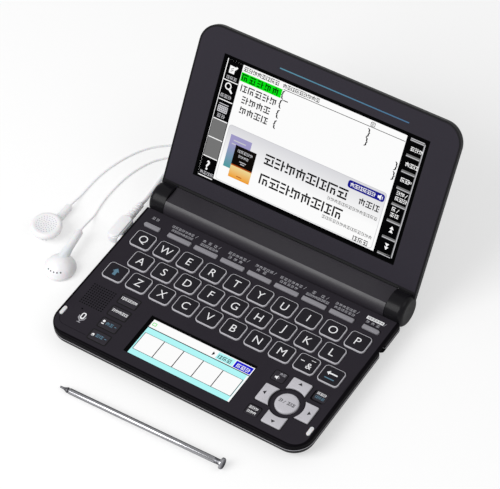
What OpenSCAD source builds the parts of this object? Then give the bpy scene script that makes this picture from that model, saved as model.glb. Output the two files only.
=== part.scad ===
// Clamshell electronic dictionary with keyboard, two screens, stylus and earphones
// Millimetres. X to the right, Y to the back, Z up. Origin at the middle of the flat underside.

/* [Case] */
// Width of the case
case_w = 148; // [146:0.5:156]
// Depth of the case, front edge to the back of the hinge barrel
case_d = 105.5; // [105:0.5:112]
// Height of the keyboard deck above the underside
deck_z = 9.8; // [9.6:0.1:11]
// Height of the joint between the case halves
parting_z = 5.5; // [5.2:0.1:5.8]
// Radius of the two front corners
corner_r = 11; // [9:0.5:14]
// Rounding of the deck's outer edge
deck_edge_r = 1.2; // [0.6:0.1:1.4]
// Thickness of the side walls
wall = 1.4; // [1.2:0.1:1.8]
// Thickness of the deck plate
deck_t = 1.2; // [1:0.1:1.3]
// Thickness of the floor
floor_t = 1.2; // [1:0.1:1.5]
// Height of the rubber feet below the underside
foot_h = 1; // [0.8:0.1:2]
// Radius of a rubber foot
foot_r = 3.2; // [2.5:0.1:3.6]

/* [Hinge] */
// Radius of the hinge barrel and of the lid's end caps
barrel_r = 8.5; // [8.3:0.1:9]
// Height of the hinge axis
hinge_z = 9.2; // [9:0.1:9.4]
// Height of the flat on top of the barrel
barrel_flat_z = 15.9; // [15.8:0.1:16.6]
// Depth that the lower half of the barrel hangs below the upper one
barrel_drop = 1.1; // [1.1:0.1:1.4]
// Length of one end cap
cap_w = 9.5; // [8.5:0.5:11]
// Radius of the hinge pins
pin_r = 2; // [1.5:0.1:2.6]
// Radial clearance of a pin in its end cap
pin_play = 0.06; // [0.02:0.01:0.1]
// Angle of the open lid above the horizontal
lid_lean = 57; // [50:1:90]

/* [Lid] */
// Thickness of the lid
lid_t = 5.1; // [4.8:0.1:6]
// Gap between deck and closed lid
lid_gap = 0.95; // [0.95:0.05:1.2]
// Set-back of the lid's tip from the front edge
lid_setback = 0.95; // [0:0.05:3]
// Thickness of the lid's front frame
bezel_t = 1.5; // [1.2:0.1:1.8]
// Wall of the lid's rear shell
lid_wall = 0.9; // [0.7:0.1:1.2]
// Rounding of the lid's outer edge
lid_edge_r = 3; // [1:0.1:3.2]
// Width of the lid's frame beside the main screen window
screen_side = 15.5; // [13:0.5:21]
// Width of the lid's frame above the main screen window
screen_top = 12.55; // [9:0.05:17]
// Strip of lid between barrel and screen window
chin = 9.15; // [7:0.05:11]

/* [Keys] */
// Space between neighbouring letter keys of a row
key_space_x = 2.4; // [2.1:0.1:4]
// Space between the letter rows
key_space_y = 1.7; // [1.6:0.1:3.4]
// Margin of the deck beside the letter rows
key_margin = 5.7; // [5.5:0.05:7.5]
// Corner radius of a letter key
key_r = 2; // [1:0.1:3]
// Height of the key tops above the deck
key_rise = 0.8; // [0.5:0.05:0.8]
// Travel of the keys
key_travel = 0.9; // [0.5:0.1:0.9]
// Gap around a key in its hole
key_gap = 0.3; // [0.2:0.05:0.4]
// Width of the rim that the flange adds round a key
flange_w = 0.7; // [0.6:0.1:0.8]
// Space between neighbouring function bars
bar_space = 2.4; // [1.8:0.1:5]
// Amount by which the first and last function bars are shorter
end_bar_cut = 4.2; // [3.4:0.2:7]
// Depth of a function bar
bar_d = 2.6; // [2:0.1:3]
// Width of a side key
side_key_w = 10.1; // [8:0.1:10.5]
// Space between the side keys
side_key_space = 2.85; // [2.2:0.05:4]
// Length of an arrow key, from the middle outwards
arrow_l = 5.9; // [5.6:0.1:6.6]
// Space between the round enter key and the arrow keys
enter_space = 3; // [2.6:0.1:3.8]

/* [Touch screen] */
// Space between the lower screen window and the side keys
pad_space_left = 9.35; // [8:0.05:14]
// Space between the lower screen window and the arrow keys
pad_space_right = 8.9; // [8:0.1:14]
// Deck in front of the lower screen window
pad_front = 7.05; // [6.8:0.05:10]
// Deck between the lower screen window and the letter keys
pad_back = 7.6; // [7.3:0.1:12]
// Recess of the lower screen below the deck
pad_recess = 0.3; // [0.1:0.05:0.5]

/* [Speaker and jack] */
// Number of speaker holes each way
grille_n = 10; // [6:1:10]
// Spacing of the speaker holes
grille_pitch = 1.4; // [1.2:0.05:1.45]
// Radius of a speaker hole
grille_r = 0.35; // [0.2:0.05:0.5]
// Radius of the earphone plug's pin
plug_r = 1.75; // [1.2:0.05:1.75]
// Length of the earphone plug's pin outside its boss
plug_l = 14; // [12:0.5:14]

/* [Stylus] */
// Length of the stylus
stylus_l = 93; // [80:1:110]
// Radius of the stylus tube
stylus_r = 1.5; // [1:0.1:2]
// Radius of the stylus's end disc
stylus_disc_r = 2.9; // [2.2:0.1:3.5]

/* [Earphone cord] */
// Width of the twin cord, and diameter of the coiled tube
twin_d = 2; // [1.6:0.1:2]
// Diameter of one ear lead
lead_d = 1; // [0.8:0.1:1]
// Number of whole loops in the coil of cord
coil_loops = 11; // [6:1:14]
// Distance between neighbouring loops
coil_pitch = 2.5; // [2.45:0.05:2.6]
// Diameter at the middle of the coil's turns
coil_mid_d = 24; // [23:0.5:28]
// Distance between the two leads where they are wound round the coil
lead_pitch = 1.5; // [1.45:0.05:1.7]
// Radius of an earpiece
ear_r = 8.2; // [7.8:0.1:8.5]
// Length of an earpiece's stem from the middle of its face
ear_stem_l = 22; // [18:0.5:26]

/* [Hidden] */
$fn = 48;
eps = 0.01;
fit = 0.1;          // gap of parts that are screwed or clipped together
clear = 0.3;        // gap between faces that pass each other

// Case places
front_y = -case_d / 2;
hinge_y = case_d / 2 - barrel_r;
deck_back_y = hinge_y - barrel_r - 0.35;
barrel_w = case_w - 2 * (cap_w + 0.3);
key_pitch_x = (case_w - 2 * key_margin + key_space_x) / 10;
key_w = key_pitch_x - key_space_x;
key_pitch_y = (case_d - 10.3) / 8;
key_d = key_pitch_y - key_space_y;
bar_pitch = (case_w - 5.8) / 9;
bar_w = bar_pitch - bar_space;
end_bar_w = bar_w - end_bar_cut;
deck_under_z = deck_z - deck_t;
table_z = -foot_h;

// Screws and feet
screw_r = 1;
screw_head_r = 1.9;
post_r = 3;
screw_places = [
    [-case_w / 2 + 8.5, front_y + 8.25], [case_w / 2 - 8.5, front_y + 8.25],
    [-case_w / 2 + 7.5, deck_back_y - 4.4], [case_w / 2 - 7.5, deck_back_y - 4.4],
    [-case_w * 0.23, deck_back_y - 3.9], [case_w * 0.23, deck_back_y - 3.9]];
foot_places = [
    [-case_w / 2 + 18, front_y + 12], [case_w / 2 - 18, front_y + 12],
    [-case_w / 2 + 15, hinge_y - 4], [case_w / 2 - 15, hinge_y - 4]];
foot_pocket = 0.5;

// Circuit board, rubber mat and key section
board_z = 3.3;
board_t = 1;
mat_t = 0.55;
dome_h = 0.4;
dome_top_z = board_z + board_t + mat_t + dome_h;
flange_t = 0.7;
flange_gap = 0.2;
flange_z = deck_under_z - flange_gap - flange_t;
stem_r = 1.6;
stem_z = dome_top_z + fit + key_travel;
key_rim = 0.45;
key_step = 0.2;

// Keyboard places
row_y = deck_back_y - 19.7;
bar_y = deck_back_y - 9.9;
row_front_y = row_y - 2 * key_pitch_y - key_d / 2;
front_d = row_front_y - front_y;
arrow_out = front_d / 2 - 4.975;
arrow_in_r = arrow_out - arrow_l;
arrow_w = arrow_out - 4.2;
enter_r = arrow_in_r - enter_space;
dpad_x = case_w / 2 - 21;
dpad_y = front_y + front_d / 2 + 0.575;
side_key_pitch = (front_d - 14.2) / 3;
side_key_d = side_key_pitch - side_key_space;
side_key_x = -case_w / 2 + 27.7;
side_key_y = front_y + 7.5;
pad_left = side_key_x + side_key_w / 2 + pad_space_left;
pad_right = dpad_x - arrow_out - pad_space_right;
pad_w = pad_right - pad_left;
pad_d = front_d - pad_front - pad_back;
pad_x = (pad_left + pad_right) / 2;
pad_y = front_y + pad_front + pad_d / 2;
corner_key_off = arrow_out - 3.2;
corner_key_w = corner_key_off - 4.7;
corner_key_d = corner_key_off - 5.6;
bar_x = [for (i = [-4:4]) i * bar_pitch + (abs(i) == 4 ? sign(i) * 0.7 : 0)];
LETTERS = [
    ["q", 0, 0], ["w", 1, 0], ["e", 2, 0], ["r", 3, 0], ["t", 4, 0],
    ["y", 5, 0], ["u", 6, 0], ["i", 7, 0], ["o", 8, 0], ["p", 9, 0],
    ["a", 0.5, 1], ["s", 1.5, 1], ["d", 2.5, 1], ["f", 3.5, 1], ["g", 4.5, 1],
    ["h", 5.5, 1], ["j", 6.5, 1], ["k", 7.5, 1], ["l", 8.5, 1],
    ["shift", 0, 2], ["z", 1, 2], ["x", 2, 2], ["c", 3, 2], ["v", 4, 2],
    ["b", 5, 2], ["n", 6, 2], ["m", 7, 2], ["symbol", 8, 2], ["delete", 9, 2]];
function key_x(column) = (column - 4.5) * key_pitch_x;
function key_y(row) = row_y - row * key_pitch_y;

// Speaker, microphone, jack, bumpers and side notch
speaker_x = -case_w / 2 + 12.9;
speaker_y = row_front_y - 12.2;
speaker_r = 8;
mic_y = speaker_y - 13.85;
jack_y = deck_back_y - 19.9;
jack_z = 3.2;
jack_w = 6.4;
jack_h = 3.9;
jack_bore_r = plug_r + 0.05;
jack_collar_r = jack_bore_r + 0.2;
wall_x = -case_w / 2;
jack_face_x = wall_x + 1.8;
jack_x = wall_x + 3.4;
jack_end_x = wall_x + plug_l + 0.9;
bumper_w = 1.9;
bumper_l = 5.2;
bumper_y = front_y + 12.3;
bumper_x = case_w / 2 - 3;
bumper_h = 0.65;
bumper_pocket = 0.4;
notch_y = deck_back_y - 18.9;
notch_l = 5.2;
notch_depth = 3.4;

// Batteries in the barrel, between the hinges' rooms at its two ends
hinge_room = 11.7;
contact_room = 4;
bay_w = barrel_w - 2 * hinge_room;
cell_r = barrel_r - 1.45;
cell_l = (bay_w - contact_room) / 2;
bay_r = cell_r + 0.2;
bay_z = hinge_z - 1.45;
door_w = bay_w - 1;
door_front = 2.6;
door_lip = 3;
door_floor_z = bay_z - cell_r - 0.15;
door_top = 1.2;
door_play = 0.2;
pocket_r = 6;
bulkhead = 1.3;
end_wall = 1.2;

// Lid places, measured along the lid from the hinge axis and square to its face
lid_face = hinge_z - deck_z - lid_gap;
lid_back = lid_face - lid_t;
lid_start = barrel_r + 0.45;
lid_reach = hinge_y - front_y - lid_setback;
screen_start = lid_start + chin;
screen_recess = 0.5;
screen_edge = 2.2;
lid_floor = lid_back + 1;
screen_w = case_w - 2 * screen_side;
screen_h = lid_reach - screen_start - screen_top;

// Earphone cord: route points chosen by hand, lying on the table
plug_body_x = wall_x - 6.6;
plug_body_w = 7.2;
plug_body_l = 16.2;
plug_body_h = 6;
plug_back_y = jack_y - 3 + plug_body_l;
relief_l = 11.5;
cord_x = plug_body_x - 0.7;
twin_z = table_z + twin_d / 2 + 0.02;
lead_z = table_z + lead_d / 2 + 0.02;
coil_x = -54;
coil_y = 101;
coil_turns = coil_loops + 0.5;
coil_out_r = coil_mid_d / 2 + coil_turns / 4 * coil_pitch;
coil_top_z = twin_z + coil_pitch;
coil_straight = 2;
slider_l = 8;
slider_x = coil_x - coil_straight - slider_l / 2;
slider_y = coil_y + coil_out_r;
wind_start = 128;
wind_end = 512;
wind_r = coil_out_r + 2.3;
lead_start_x = slider_x - slider_l / 2;
left_wind_r = wind_r + lead_pitch;
TWIN_ROUTE = [
    [cord_x, plug_back_y + relief_l, jack_z - 0.6], [cord_x - 0.3, 44, 1.6], [-82.4, 48, 0.7],
    [-83.2, 54, twin_z], [-83.8, 60, twin_z], [-83.8, 66, twin_z], [-82.8, 71, twin_z],
    [-79.8, 75.4, twin_z], [-75.4, 78.6, 0.7], [-70, 80.8, 1.8], [-64.5, 82, 2.4],
    [coil_x - 6, coil_y - coil_out_r, coil_top_z], [coil_x - coil_straight, coil_y - coil_out_r, coil_top_z]];
LEFT_ROUTE = [
    [-112.8, 21.3, 1.3], [-112.9, 25, 0.9], [-113.1, 30, -0.2], [-113.2, 36, lead_z],
    [-113, 43, lead_z], [-112.2, 50, lead_z], [-110.6, 57, lead_z], [-108.2, 64, lead_z],
    [-104.8, 71, lead_z], [-100.5, 76.8, lead_z], [-95.4, 81.2, lead_z], [-90.2, 85.4, lead_z],
    [-86.6, 90.6, lead_z], [-84.4, 96.4, lead_z], [-82.3, 102.4, lead_z]];
RIGHT_ROUTE = [
    [-96.5, 8, 4.9], [-96.9, 11.5, 4.4], [-97.6, 15.5, 2.9], [-98.5, 19.5, 1],
    [-99.4, 24, lead_z], [-100.3, 29, lead_z], [-101, 35, lead_z], [-101.1, 42, lead_z],
    [-100.7, 49, lead_z], [-99.6, 56, lead_z], [-97.4, 63, lead_z], [-94.2, 69.6, lead_z],
    [-89.6, 74.8, lead_z], [-85.4, 79.6, lead_z], [-83.2, 85.4, lead_z], [-82.2, 91.6, lead_z],
    [-81, 97.6, lead_z], [-79, 103.2, lead_z]];

// Colours
CASE = [0.22, 0.21, 0.24];
CASE_DARK = [0.07, 0.07, 0.08];
SCREEN = [0.1, 0.1, 0.12];
SILVER = [0.78, 0.77, 0.8];
BAR = [0.6, 0.6, 0.62];
WHITE = [0.93, 0.93, 0.95];
METAL = [0.75, 0.75, 0.76];
GREEN = [0.1, 0.35, 0.2];
RUBBER = [0.12, 0.12, 0.12];

// Outline helpers

module rounded(w, d, r) {
    square([w - 2 * r, d], center = true);
    square([w, d - 2 * r], center = true);
    for (x = [-1, 1], y = [-1, 1]) translate([x * (w / 2 - r), y * (d / 2 - r)]) circle(r);
}

// Case outline from above: round front corners, straight back
module case_outline(inset) {
    half = case_w / 2 - inset;
    r = corner_r - inset;
    back = deck_back_y - inset;
    front = front_y + inset;
    translate([-half, front + r]) square([2 * half, back - front - r]);
    translate([-half + r, front]) square([2 * (half - r), r + eps]);
    for (s = [-1, 1]) translate([s * (half - r), front + r]) circle(r);
}

// Section of a shallow pan's edge, rounded at its lower outer corner
module edge_profile(run, h, r) {
    intersection() {
        square([run, h]);
        union() {
            square([run - r, h]);
            translate([0, r]) square([run, h]);
            translate([run - r, r]) circle(r);
        }
    }
}

// Solid pan: its left, right and front lower edges are rounded, its back is straight
module pan(w, y0, y1, rc, h, r) {
    side = w / 2 - rc;
    translate([-side, y0 + rc, 0]) cube([2 * side, y1 - y0 - rc, h]);
    translate([side, y0 + rc, 0]) rotate([90, 0, -90]) linear_extrude(2 * side) edge_profile(rc, h, r);
    for (m = [0, 1]) mirror([m, 0, 0]) {
        translate([side, y1, 0]) rotate([90, 0, 0]) linear_extrude(y1 - y0 - rc) edge_profile(rc, h, r);
        translate([side, y0 + rc, 0]) rotate([0, 0, -90]) rotate_extrude(angle = 90) edge_profile(rc, h, r);
    }
}

// Extrudes a Y-Z section along X, centred
module along_x(length) {
    translate([-length / 2, 0, 0]) rotate([90, 0, 90]) linear_extrude(length) children();
}

module at_hinge() {
    translate([0, hinge_y, hinge_z]) children();
}

// Barrel section about the hinge axis
module barrel_section() {
    intersection() {
        union() {
            circle(barrel_r);
            translate([0, -barrel_drop]) circle(barrel_r);
            translate([-barrel_r, -barrel_drop]) square([2 * barrel_r, barrel_drop]);
        }
        translate([-2 * barrel_r, -4 * barrel_r]) square([4 * barrel_r, 4 * barrel_r + barrel_flat_z - hinge_z]);
    }
}

// Room inside the barrel: battery bay, hinge pockets and pin holes
module barrel_room() {
    pocket_l = (barrel_w - bay_w) / 2 - bulkhead - end_wall;
    at_hinge() {
        along_x(bay_w) translate([0, bay_z - hinge_z]) circle(bay_r);
        for (s = [-1, 1]) {
            translate([s * (bay_w / 2 + bulkhead + pocket_l / 2), 0, 0]) along_x(pocket_l) circle(pocket_r);
            translate([s * (barrel_w / 2 - end_wall / 2), 0, 0]) along_x(end_wall + 1) circle(pin_r + fit);
        }
    }
}

// Section of the battery cover about the hinge axis, grown by the play g
module door_section(g) {
    difference() {
        intersection() {
            if (g > 0) circle(barrel_r + barrel_drop + 2);
            else barrel_section();
            translate([-door_front - g, -3 * barrel_r]) square([4 * barrel_r, 3 * barrel_r + door_top + g]);
        }
        translate([0, bay_z - hinge_z]) circle(bay_r + 0.15 - g);
        translate([-barrel_r, door_floor_z + g - hinge_z]) square([barrel_r, 2 * barrel_r]);
    }
    translate([-door_front - door_lip - g, -hinge_z - (g > 0 ? 1 : 0)])
        square([door_lip + 0.6 + g, door_floor_z + g + (g > 0 ? 1 : 0)]);
}

// Base

module bottom_case() {
    color(CASE_DARK) difference() {
        union() {
            difference() {
                union() {
                    pan(case_w, front_y, deck_back_y, corner_r, parting_z, parting_z);
                    translate([-barrel_w / 2, deck_back_y - wall, 0])
                        cube([barrel_w, hinge_y - deck_back_y + wall, parting_z]);
                    intersection() {
                        at_hinge() along_x(barrel_w) barrel_section();
                        translate([-barrel_w / 2, 0, -5]) cube([barrel_w, case_d, parting_z + 5]);
                    }
                }
                translate([0, 0, floor_t])
                    pan(case_w - 2 * wall, front_y + wall, deck_back_y - wall, corner_r - wall,
                        parting_z, parting_z - floor_t);
            }
            for (p = screw_places) translate([p[0], p[1], floor_t - eps]) cylinder(h = parting_z - floor_t, r = post_r);
            board_posts();
        }
        barrel_room();
        at_hinge() along_x(door_w + 2 * door_play) door_section(door_play);
        for (p = screw_places) translate([p[0], p[1], 0]) {
            translate([0, 0, -1]) cylinder(h = 2.5, r = screw_head_r + 0.3);
            cylinder(h = parting_z + 1, r = screw_r + fit);
        }
        for (p = foot_places) translate([p[0], p[1], -1]) cylinder(h = 1 + foot_pocket, r = foot_r + 0.05);
        translate([wall_x - 1, jack_y, jack_z]) rotate([0, 90, 0])
            cylinder(h = jack_x - wall_x + 2, r = jack_collar_r + fit);
        jack_room(fit, jack_h / 2 + fit);
        side_notch();
    }
}

// Room for the jack's body, grown by the gap g and reaching the height h above its axis
module jack_room(g, h) {
    translate([jack_x - g, jack_y - jack_w / 2 - g, jack_z - jack_h / 2 - g])
        cube([jack_end_x - jack_x + 2 * g, jack_w + 2 * g, jack_h / 2 + g + h]);
}

// Short posts that carry the circuit board
module board_posts() {
    for (s = [-2, -1, 1, 2], y = [deck_back_y - 47.4, deck_back_y - 15.4])
        translate([s * case_w * 0.175, y, floor_t - eps]) cylinder(h = board_z - floor_t + eps, r = 1.5);
    for (s = [-1, 1]) translate([s * case_w / 4, front_y + 12, floor_t - eps])
        cylinder(h = board_z - floor_t + eps, r = 1.5);
}

// Finger notch in the right side, under the deck plate
module side_notch() {
    translate([case_w / 2 - notch_depth, notch_y, -1]) cube([notch_depth + 1, notch_l, deck_under_z + 1]);
}

module top_case() {
    color(CASE) difference() {
        union() {
            difference() {
                translate([0, 0, deck_z]) mirror([0, 0, 1])
                    pan(case_w, front_y, deck_back_y, corner_r, deck_z - parting_z, deck_edge_r);
                translate([0, 0, parting_z - 1]) linear_extrude(deck_under_z - parting_z + 1) case_outline(wall);
            }
            for (p = screw_places)
                translate([p[0], p[1], parting_z]) cylinder(h = deck_under_z - parting_z + eps, r = 2.2);
            // wall beside the notch
            translate([case_w / 2 - notch_depth - 1, notch_y - 1, parting_z])
                cube([notch_depth, notch_l + 2, deck_under_z - parting_z + eps]);
        }
        translate([0, 0, deck_under_z - 1]) linear_extrude(deck_t + 2) deck_holes();
        for (p = screw_places) translate([p[0], p[1], parting_z - 1]) cylinder(h = 3.2, r = screw_r + 0.05);
        for (s = [-1, 1]) translate([s * bumper_x, bumper_y, deck_z - bumper_pocket])
            linear_extrude(2) rounded(bumper_w + 0.1, bumper_l + 0.1, bumper_w / 2);
        translate([dpad_x, dpad_y, deck_z - 0.3]) cylinder(h = 1, r = arrow_in_r - 0.6);
        translate([0, 0, deck_z - 0.25]) linear_extrude(1) panel_groove();
        side_notch();
    }
}

// All holes through the deck plate
module deck_holes() {
    for (k = LETTERS) translate([key_x(k[1]), key_y(k[2])])
        rounded(key_w + 2 * key_gap, key_d + 2 * key_gap, key_r + key_gap);
    for (i = [0:8]) translate([bar_x[i], bar_y])
        rounded(bar_length(i) + 2 * key_gap, bar_d + 2 * key_gap, 0.8 + key_gap);
    for (i = [0:3]) translate([side_key_x, side_key_y + i * side_key_pitch])
        rounded(side_key_w + 2 * key_gap, side_key_d + 2 * key_gap, 0.5 + key_gap);
    translate([dpad_x, dpad_y]) {
        circle(enter_r + key_gap);
        for (a = [0:90:270]) rotate(a) arrow_outline(key_gap);
        for (p = corner_places()) translate(p) rounded(corner_key_w + 2 * key_gap, corner_key_d + 2 * key_gap,
            1 + key_gap);
    }
    translate([pad_x, pad_y]) square([pad_w, pad_d], center = true);
    for (i = [0:grille_n - 1], j = [0:grille_n - 1])
        translate([speaker_x + (i - (grille_n - 1) / 2) * grille_pitch,
                   speaker_y + (j - (grille_n - 1) / 2) * grille_pitch]) circle(grille_r, $fn = 16);
    translate([speaker_x - 2.6, mic_y + 4.4]) circle(0.5, $fn = 16);
}

// Shallow groove round the front left panel
module panel_groove() {
    w = side_key_x - wall_x + 12.3;
    d = front_d + 10.15;
    intersection() {
        translate([wall_x + 3 + w / 2, front_y + 5.2 + d / 2]) difference() {
            rounded(w, d, 5);
            rounded(w - 0.6, d - 0.6, 4.7);
        }
        translate([wall_x, front_y]) square([side_key_x - side_key_w / 2 - 1.2 - wall_x, 9.5]);
    }
}

function bar_length(i) = (i == 0 || i == 8) ? end_bar_w : bar_w;
function corner_places() = [[-corner_key_off, corner_key_off], [corner_key_off - 0.5, corner_key_off - 0.5],
                            [-corner_key_off, -corner_key_off + 0.3]];

module hinge_cover() {
    color(CASE) difference() {
        at_hinge() along_x(barrel_w) intersection() {
            barrel_section();
            translate([-2 * barrel_r, parting_z - hinge_z]) square(4 * barrel_r);
        }
        barrel_room();
        at_hinge() along_x(door_w + 2 * door_play) door_section(door_play);
    }
}

// Battery cover with four grip grooves for the thumb that slides it
module battery_cover() {
    grip_w = 26;
    grip_r = 0.45;
    color(CASE_DARK) at_hinge() difference() {
        along_x(door_w) door_section(0);
        for (a = [-38:9:-11]) translate([0, barrel_r * cos(a), barrel_r * sin(a) - barrel_drop])
            along_x(grip_w) circle(grip_r, $fn = 16);
    }
}

module batteries() {
    start = -bay_w / 2 + 0.9;
    color("darkgray") for (i = [0, 1]) translate([start + i * (cell_l + 0.1), hinge_y, bay_z]) rotate([0, 90, 0]) {
        cylinder(h = cell_l - 1.2, r = cell_r);
        cylinder(h = cell_l, r = 2.7);
    }
}

module battery_contacts() {
    spring_l = bay_w - 0.9 - 2 * cell_l - 0.2 - 0.6;
    color(METAL) at_hinge() translate([0, 0, bay_z - hinge_z]) {
        translate([-bay_w / 2 + 0.35, 0, 0]) along_x(0.5) square(8, center = true);
        translate([bay_w / 2 - 0.35, 0, 0]) along_x(0.5) square(8, center = true);
        translate([bay_w / 2 - 0.6 - spring_l / 2, 0, 0]) along_x(spring_l) difference() {
            circle(3.4);
            circle(2.6);
        }
    }
}

module circuit_board() {
    color(GREEN) difference() {
        union() {
            translate([0, 0, board_z]) linear_extrude(board_t) case_outline(wall + 1.6);
            // processor, memory and power parts under the board
            translate([-8, deck_back_y - 41.4, board_z - 1.2]) cube([14, 14, 1.2]);
            translate([14, deck_back_y - 39.4, board_z - 1]) cube([10, 8, 1]);
            translate([-case_w / 2 + 30, deck_back_y - 31.4, board_z - 1.4]) cube([8, 8, 1.4]);
            // connector that feeds the lid's screen
            translate([case_w / 2 - 44, deck_back_y - 8.4, board_z - 1.6]) cube([22, 3.5, 1.6]);
        }
        for (p = screw_places) translate([p[0], p[1], 0]) cylinder(h = parting_z, r = post_r + clear);
        jack_room(clear, parting_z);
        translate([jack_x - 4, jack_y - jack_w / 2 - clear, 0]) cube([5, jack_w + 2 * clear, parting_z]);
        translate([case_w / 2 - notch_depth - 2, notch_y - 2, 0]) cube([10, notch_l + 4, parting_z]);
    }
}

// Rubber mat with a dome under each key
module key_mat() {
    z = board_z + board_t;
    left = key_x(0) - key_w / 2;
    color(RUBBER) difference() {
        union() {
            translate([left, key_y(2) - key_d / 2 - 1, z])
                cube([-2 * left, bar_y + 2.4 - key_y(2) + key_d / 2 + 1, mat_t]);
            translate([side_key_x - side_key_w / 2, side_key_y - side_key_d / 2, z])
                cube([side_key_w, key_y(2) - side_key_y, mat_t]);
            translate([dpad_x - arrow_out, dpad_y - arrow_out, z]) cube([2 * arrow_out, key_y(2) - dpad_y + arrow_out, mat_t]);
            for (k = LETTERS) translate([key_x(k[1]), key_y(k[2]), z]) dome();
            for (x = bar_x) translate([x, bar_y, z]) dome();
            for (i = [0:3]) translate([side_key_x, side_key_y + i * side_key_pitch, z]) dome();
            translate([dpad_x, dpad_y, z]) {
                dome();
                for (a = [0:90:270]) rotate(a) translate([0, arrow_out - 2.6, 0]) dome();
                for (p = corner_places()) translate(p) dome();
            }
        }
        for (p = screw_places) translate([p[0], p[1], 0]) cylinder(h = parting_z + 1, r = post_r + 1.2);
        jack_room(clear, parting_z);
    }
}

module dome() {
    cylinder(h = mat_t + dome_h, r = 1.9);
}

module speaker() {
    color(CASE_DARK) translate([speaker_x, speaker_y, 0]) {
        translate([0, 0, 6.4]) cylinder(h = deck_under_z - 0.1 - 6.4, r = speaker_r);
        translate([0, 0, board_z + board_t + 0.2]) cylinder(h = 2, r = 4.8);
    }
}

// Jack with a collar that the side wall's hole takes
module earphone_jack() {
    color(CASE_DARK) difference() {
        union() {
            translate([jack_x, jack_y - jack_w / 2, jack_z - jack_h / 2]) cube([jack_end_x - jack_x, jack_w, jack_h]);
            translate([jack_face_x, jack_y, jack_z]) rotate([0, 90, 0])
                cylinder(h = jack_x - jack_face_x + 1, r = jack_collar_r);
        }
        translate([jack_face_x - 1, jack_y, jack_z]) rotate([0, 90, 0])
            cylinder(h = jack_end_x - jack_face_x + 0.5, r = jack_bore_r);
    }
}

module touch_screen() {
    glass_t = deck_t - pad_recess;
    color(SCREEN) translate([pad_x, pad_y, 0]) {
        translate([-pad_w / 2 - 1, -pad_d / 2 - 1, deck_under_z - 0.1 - 2.4]) cube([pad_w + 2, pad_d + 2, 2.4]);
        translate([-pad_w / 2 + 0.2, -pad_d / 2 + 0.2, deck_under_z - 0.2])
            cube([pad_w - 0.4, pad_d - 0.4, glass_t + 0.2]);
    }
}

module screws() {
    color(METAL) for (p = screw_places) translate([p[0], p[1], 0]) difference() {
        union() {
            translate([0, 0, 0.4]) cylinder(h = 1, r = screw_head_r);
            translate([0, 0, 1]) cylinder(h = parting_z + 0.9, r = screw_r);
        }
        for (a = [0, 90]) rotate(a) translate([-1, -0.2, 0]) cube([2, 0.4, 0.8]);
    }
}

module feet() {
    color(RUBBER) for (p = foot_places) translate([p[0], p[1], -foot_h]) cylinder(h = foot_h + foot_pocket, r = foot_r);
}

module bumpers() {
    color(WHITE) for (s = [-1, 1]) translate([s * bumper_x, bumper_y, deck_z - bumper_pocket])
        linear_extrude(bumper_pocket + bumper_h) rounded(bumper_w, bumper_l, bumper_w / 2 - eps);
}

// Friction hinges: a drum inside each barrel end and a pin into the lid's cap
module hinge_pins() {
    drum_start = bay_w / 2 + bulkhead + 1;
    drum_l = barrel_w / 2 - end_wall - fit - drum_start;
    pin_l = case_w / 2 - 0.9 - drum_start;
    color(METAL) at_hinge() for (m = [0, 1]) mirror([m, 0, 0]) translate([drum_start, 0, 0]) rotate([0, 90, 0]) {
        cylinder(h = drum_l, r = 3.6);
        cylinder(h = pin_l, r = pin_r);
    }
}

// Lid, drawn along its own plane and then leaned back

module lid_place() {
    at_hinge() rotate([lid_lean, 0, 0]) children();
}

// Pan shape of the lid with its rounded edge on the back
module lid_pan(inset, level, start, h) {
    translate([0, 0, level]) mirror([0, 1, 0])
        pan(case_w - 2 * inset, -lid_reach + inset, -start, corner_r - inset, h, lid_edge_r - inset);
}

module lid_front() {
    rim = lid_wall + fit;
    w = case_w - 2 * rim;
    start = lid_start + rim;
    color(CASE) lid_place() translate([0, 0, lid_face - bezel_t]) linear_extrude(bezel_t) difference() {
        union() {
            translate([-w / 2, start]) square([w, lid_reach - start - corner_r]);
            translate([-w / 2 + corner_r - rim, start]) square([w - 2 * (corner_r - rim), lid_reach - rim - start]);
            for (s = [-1, 1]) translate([s * (w / 2 - corner_r + rim), lid_reach - corner_r]) circle(corner_r - rim);
        }
        translate([-screen_w / 2, screen_start]) square([screen_w, screen_h]);
    }
}

module lid_back() {
    color(CASE_DARK) lid_place() difference() {
        union() {
            difference() {
                lid_pan(0, lid_back, lid_start, lid_t);
                lid_pan(lid_wall, lid_floor, lid_start + lid_wall, lid_t);
            }
            for (m = [0, 1]) mirror([m, 0, 0]) cap();
        }
        for (m = [0, 1]) mirror([m, 0, 0]) translate([case_w / 2 - cap_w - 1, 0, 0]) rotate([0, 90, 0])
            cylinder(h = cap_w + 1 - 0.6, r = pin_r + pin_play);
    }
}

// Right end cap: part of the barrel that turns with the lid, and the web that joins it
module cap() {
    round_r = 2.6;
    translate([case_w / 2 - cap_w, 0, 0]) rotate([0, 90, 0]) rotate_extrude() intersection() {
        square([barrel_r, cap_w]);
        union() {
            square([barrel_r, cap_w - round_r]);
            square([barrel_r - round_r, cap_w]);
            translate([barrel_r - round_r, cap_w - round_r]) circle(round_r);
        }
    }
    intersection() {
        lid_pan(0, lid_back, 0, lid_t);
        translate([case_w / 2 - cap_w, 0, -2 * barrel_r]) cube([cap_w, lid_start + 1, 4 * barrel_r]);
    }
}

module main_screen() {
    glass_t = bezel_t - screen_recess + 0.1;
    module_t = lid_t - 1 - bezel_t - 0.2;
    color(SCREEN) lid_place() {
        translate([-screen_w / 2 - screen_edge, screen_start - screen_edge, lid_floor + 0.1])
            cube([screen_w + 2 * screen_edge, screen_h + 2 * screen_edge, module_t]);
        translate([-screen_w / 2 + 0.15, screen_start + 0.15, lid_face - screen_recess - glass_t - 0.1])
            cube([screen_w - 0.3, screen_h - 0.3, glass_t + 0.1]);
    }
}

// Keys: light body with a flange under the deck, a stem and a raised dark face

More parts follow.
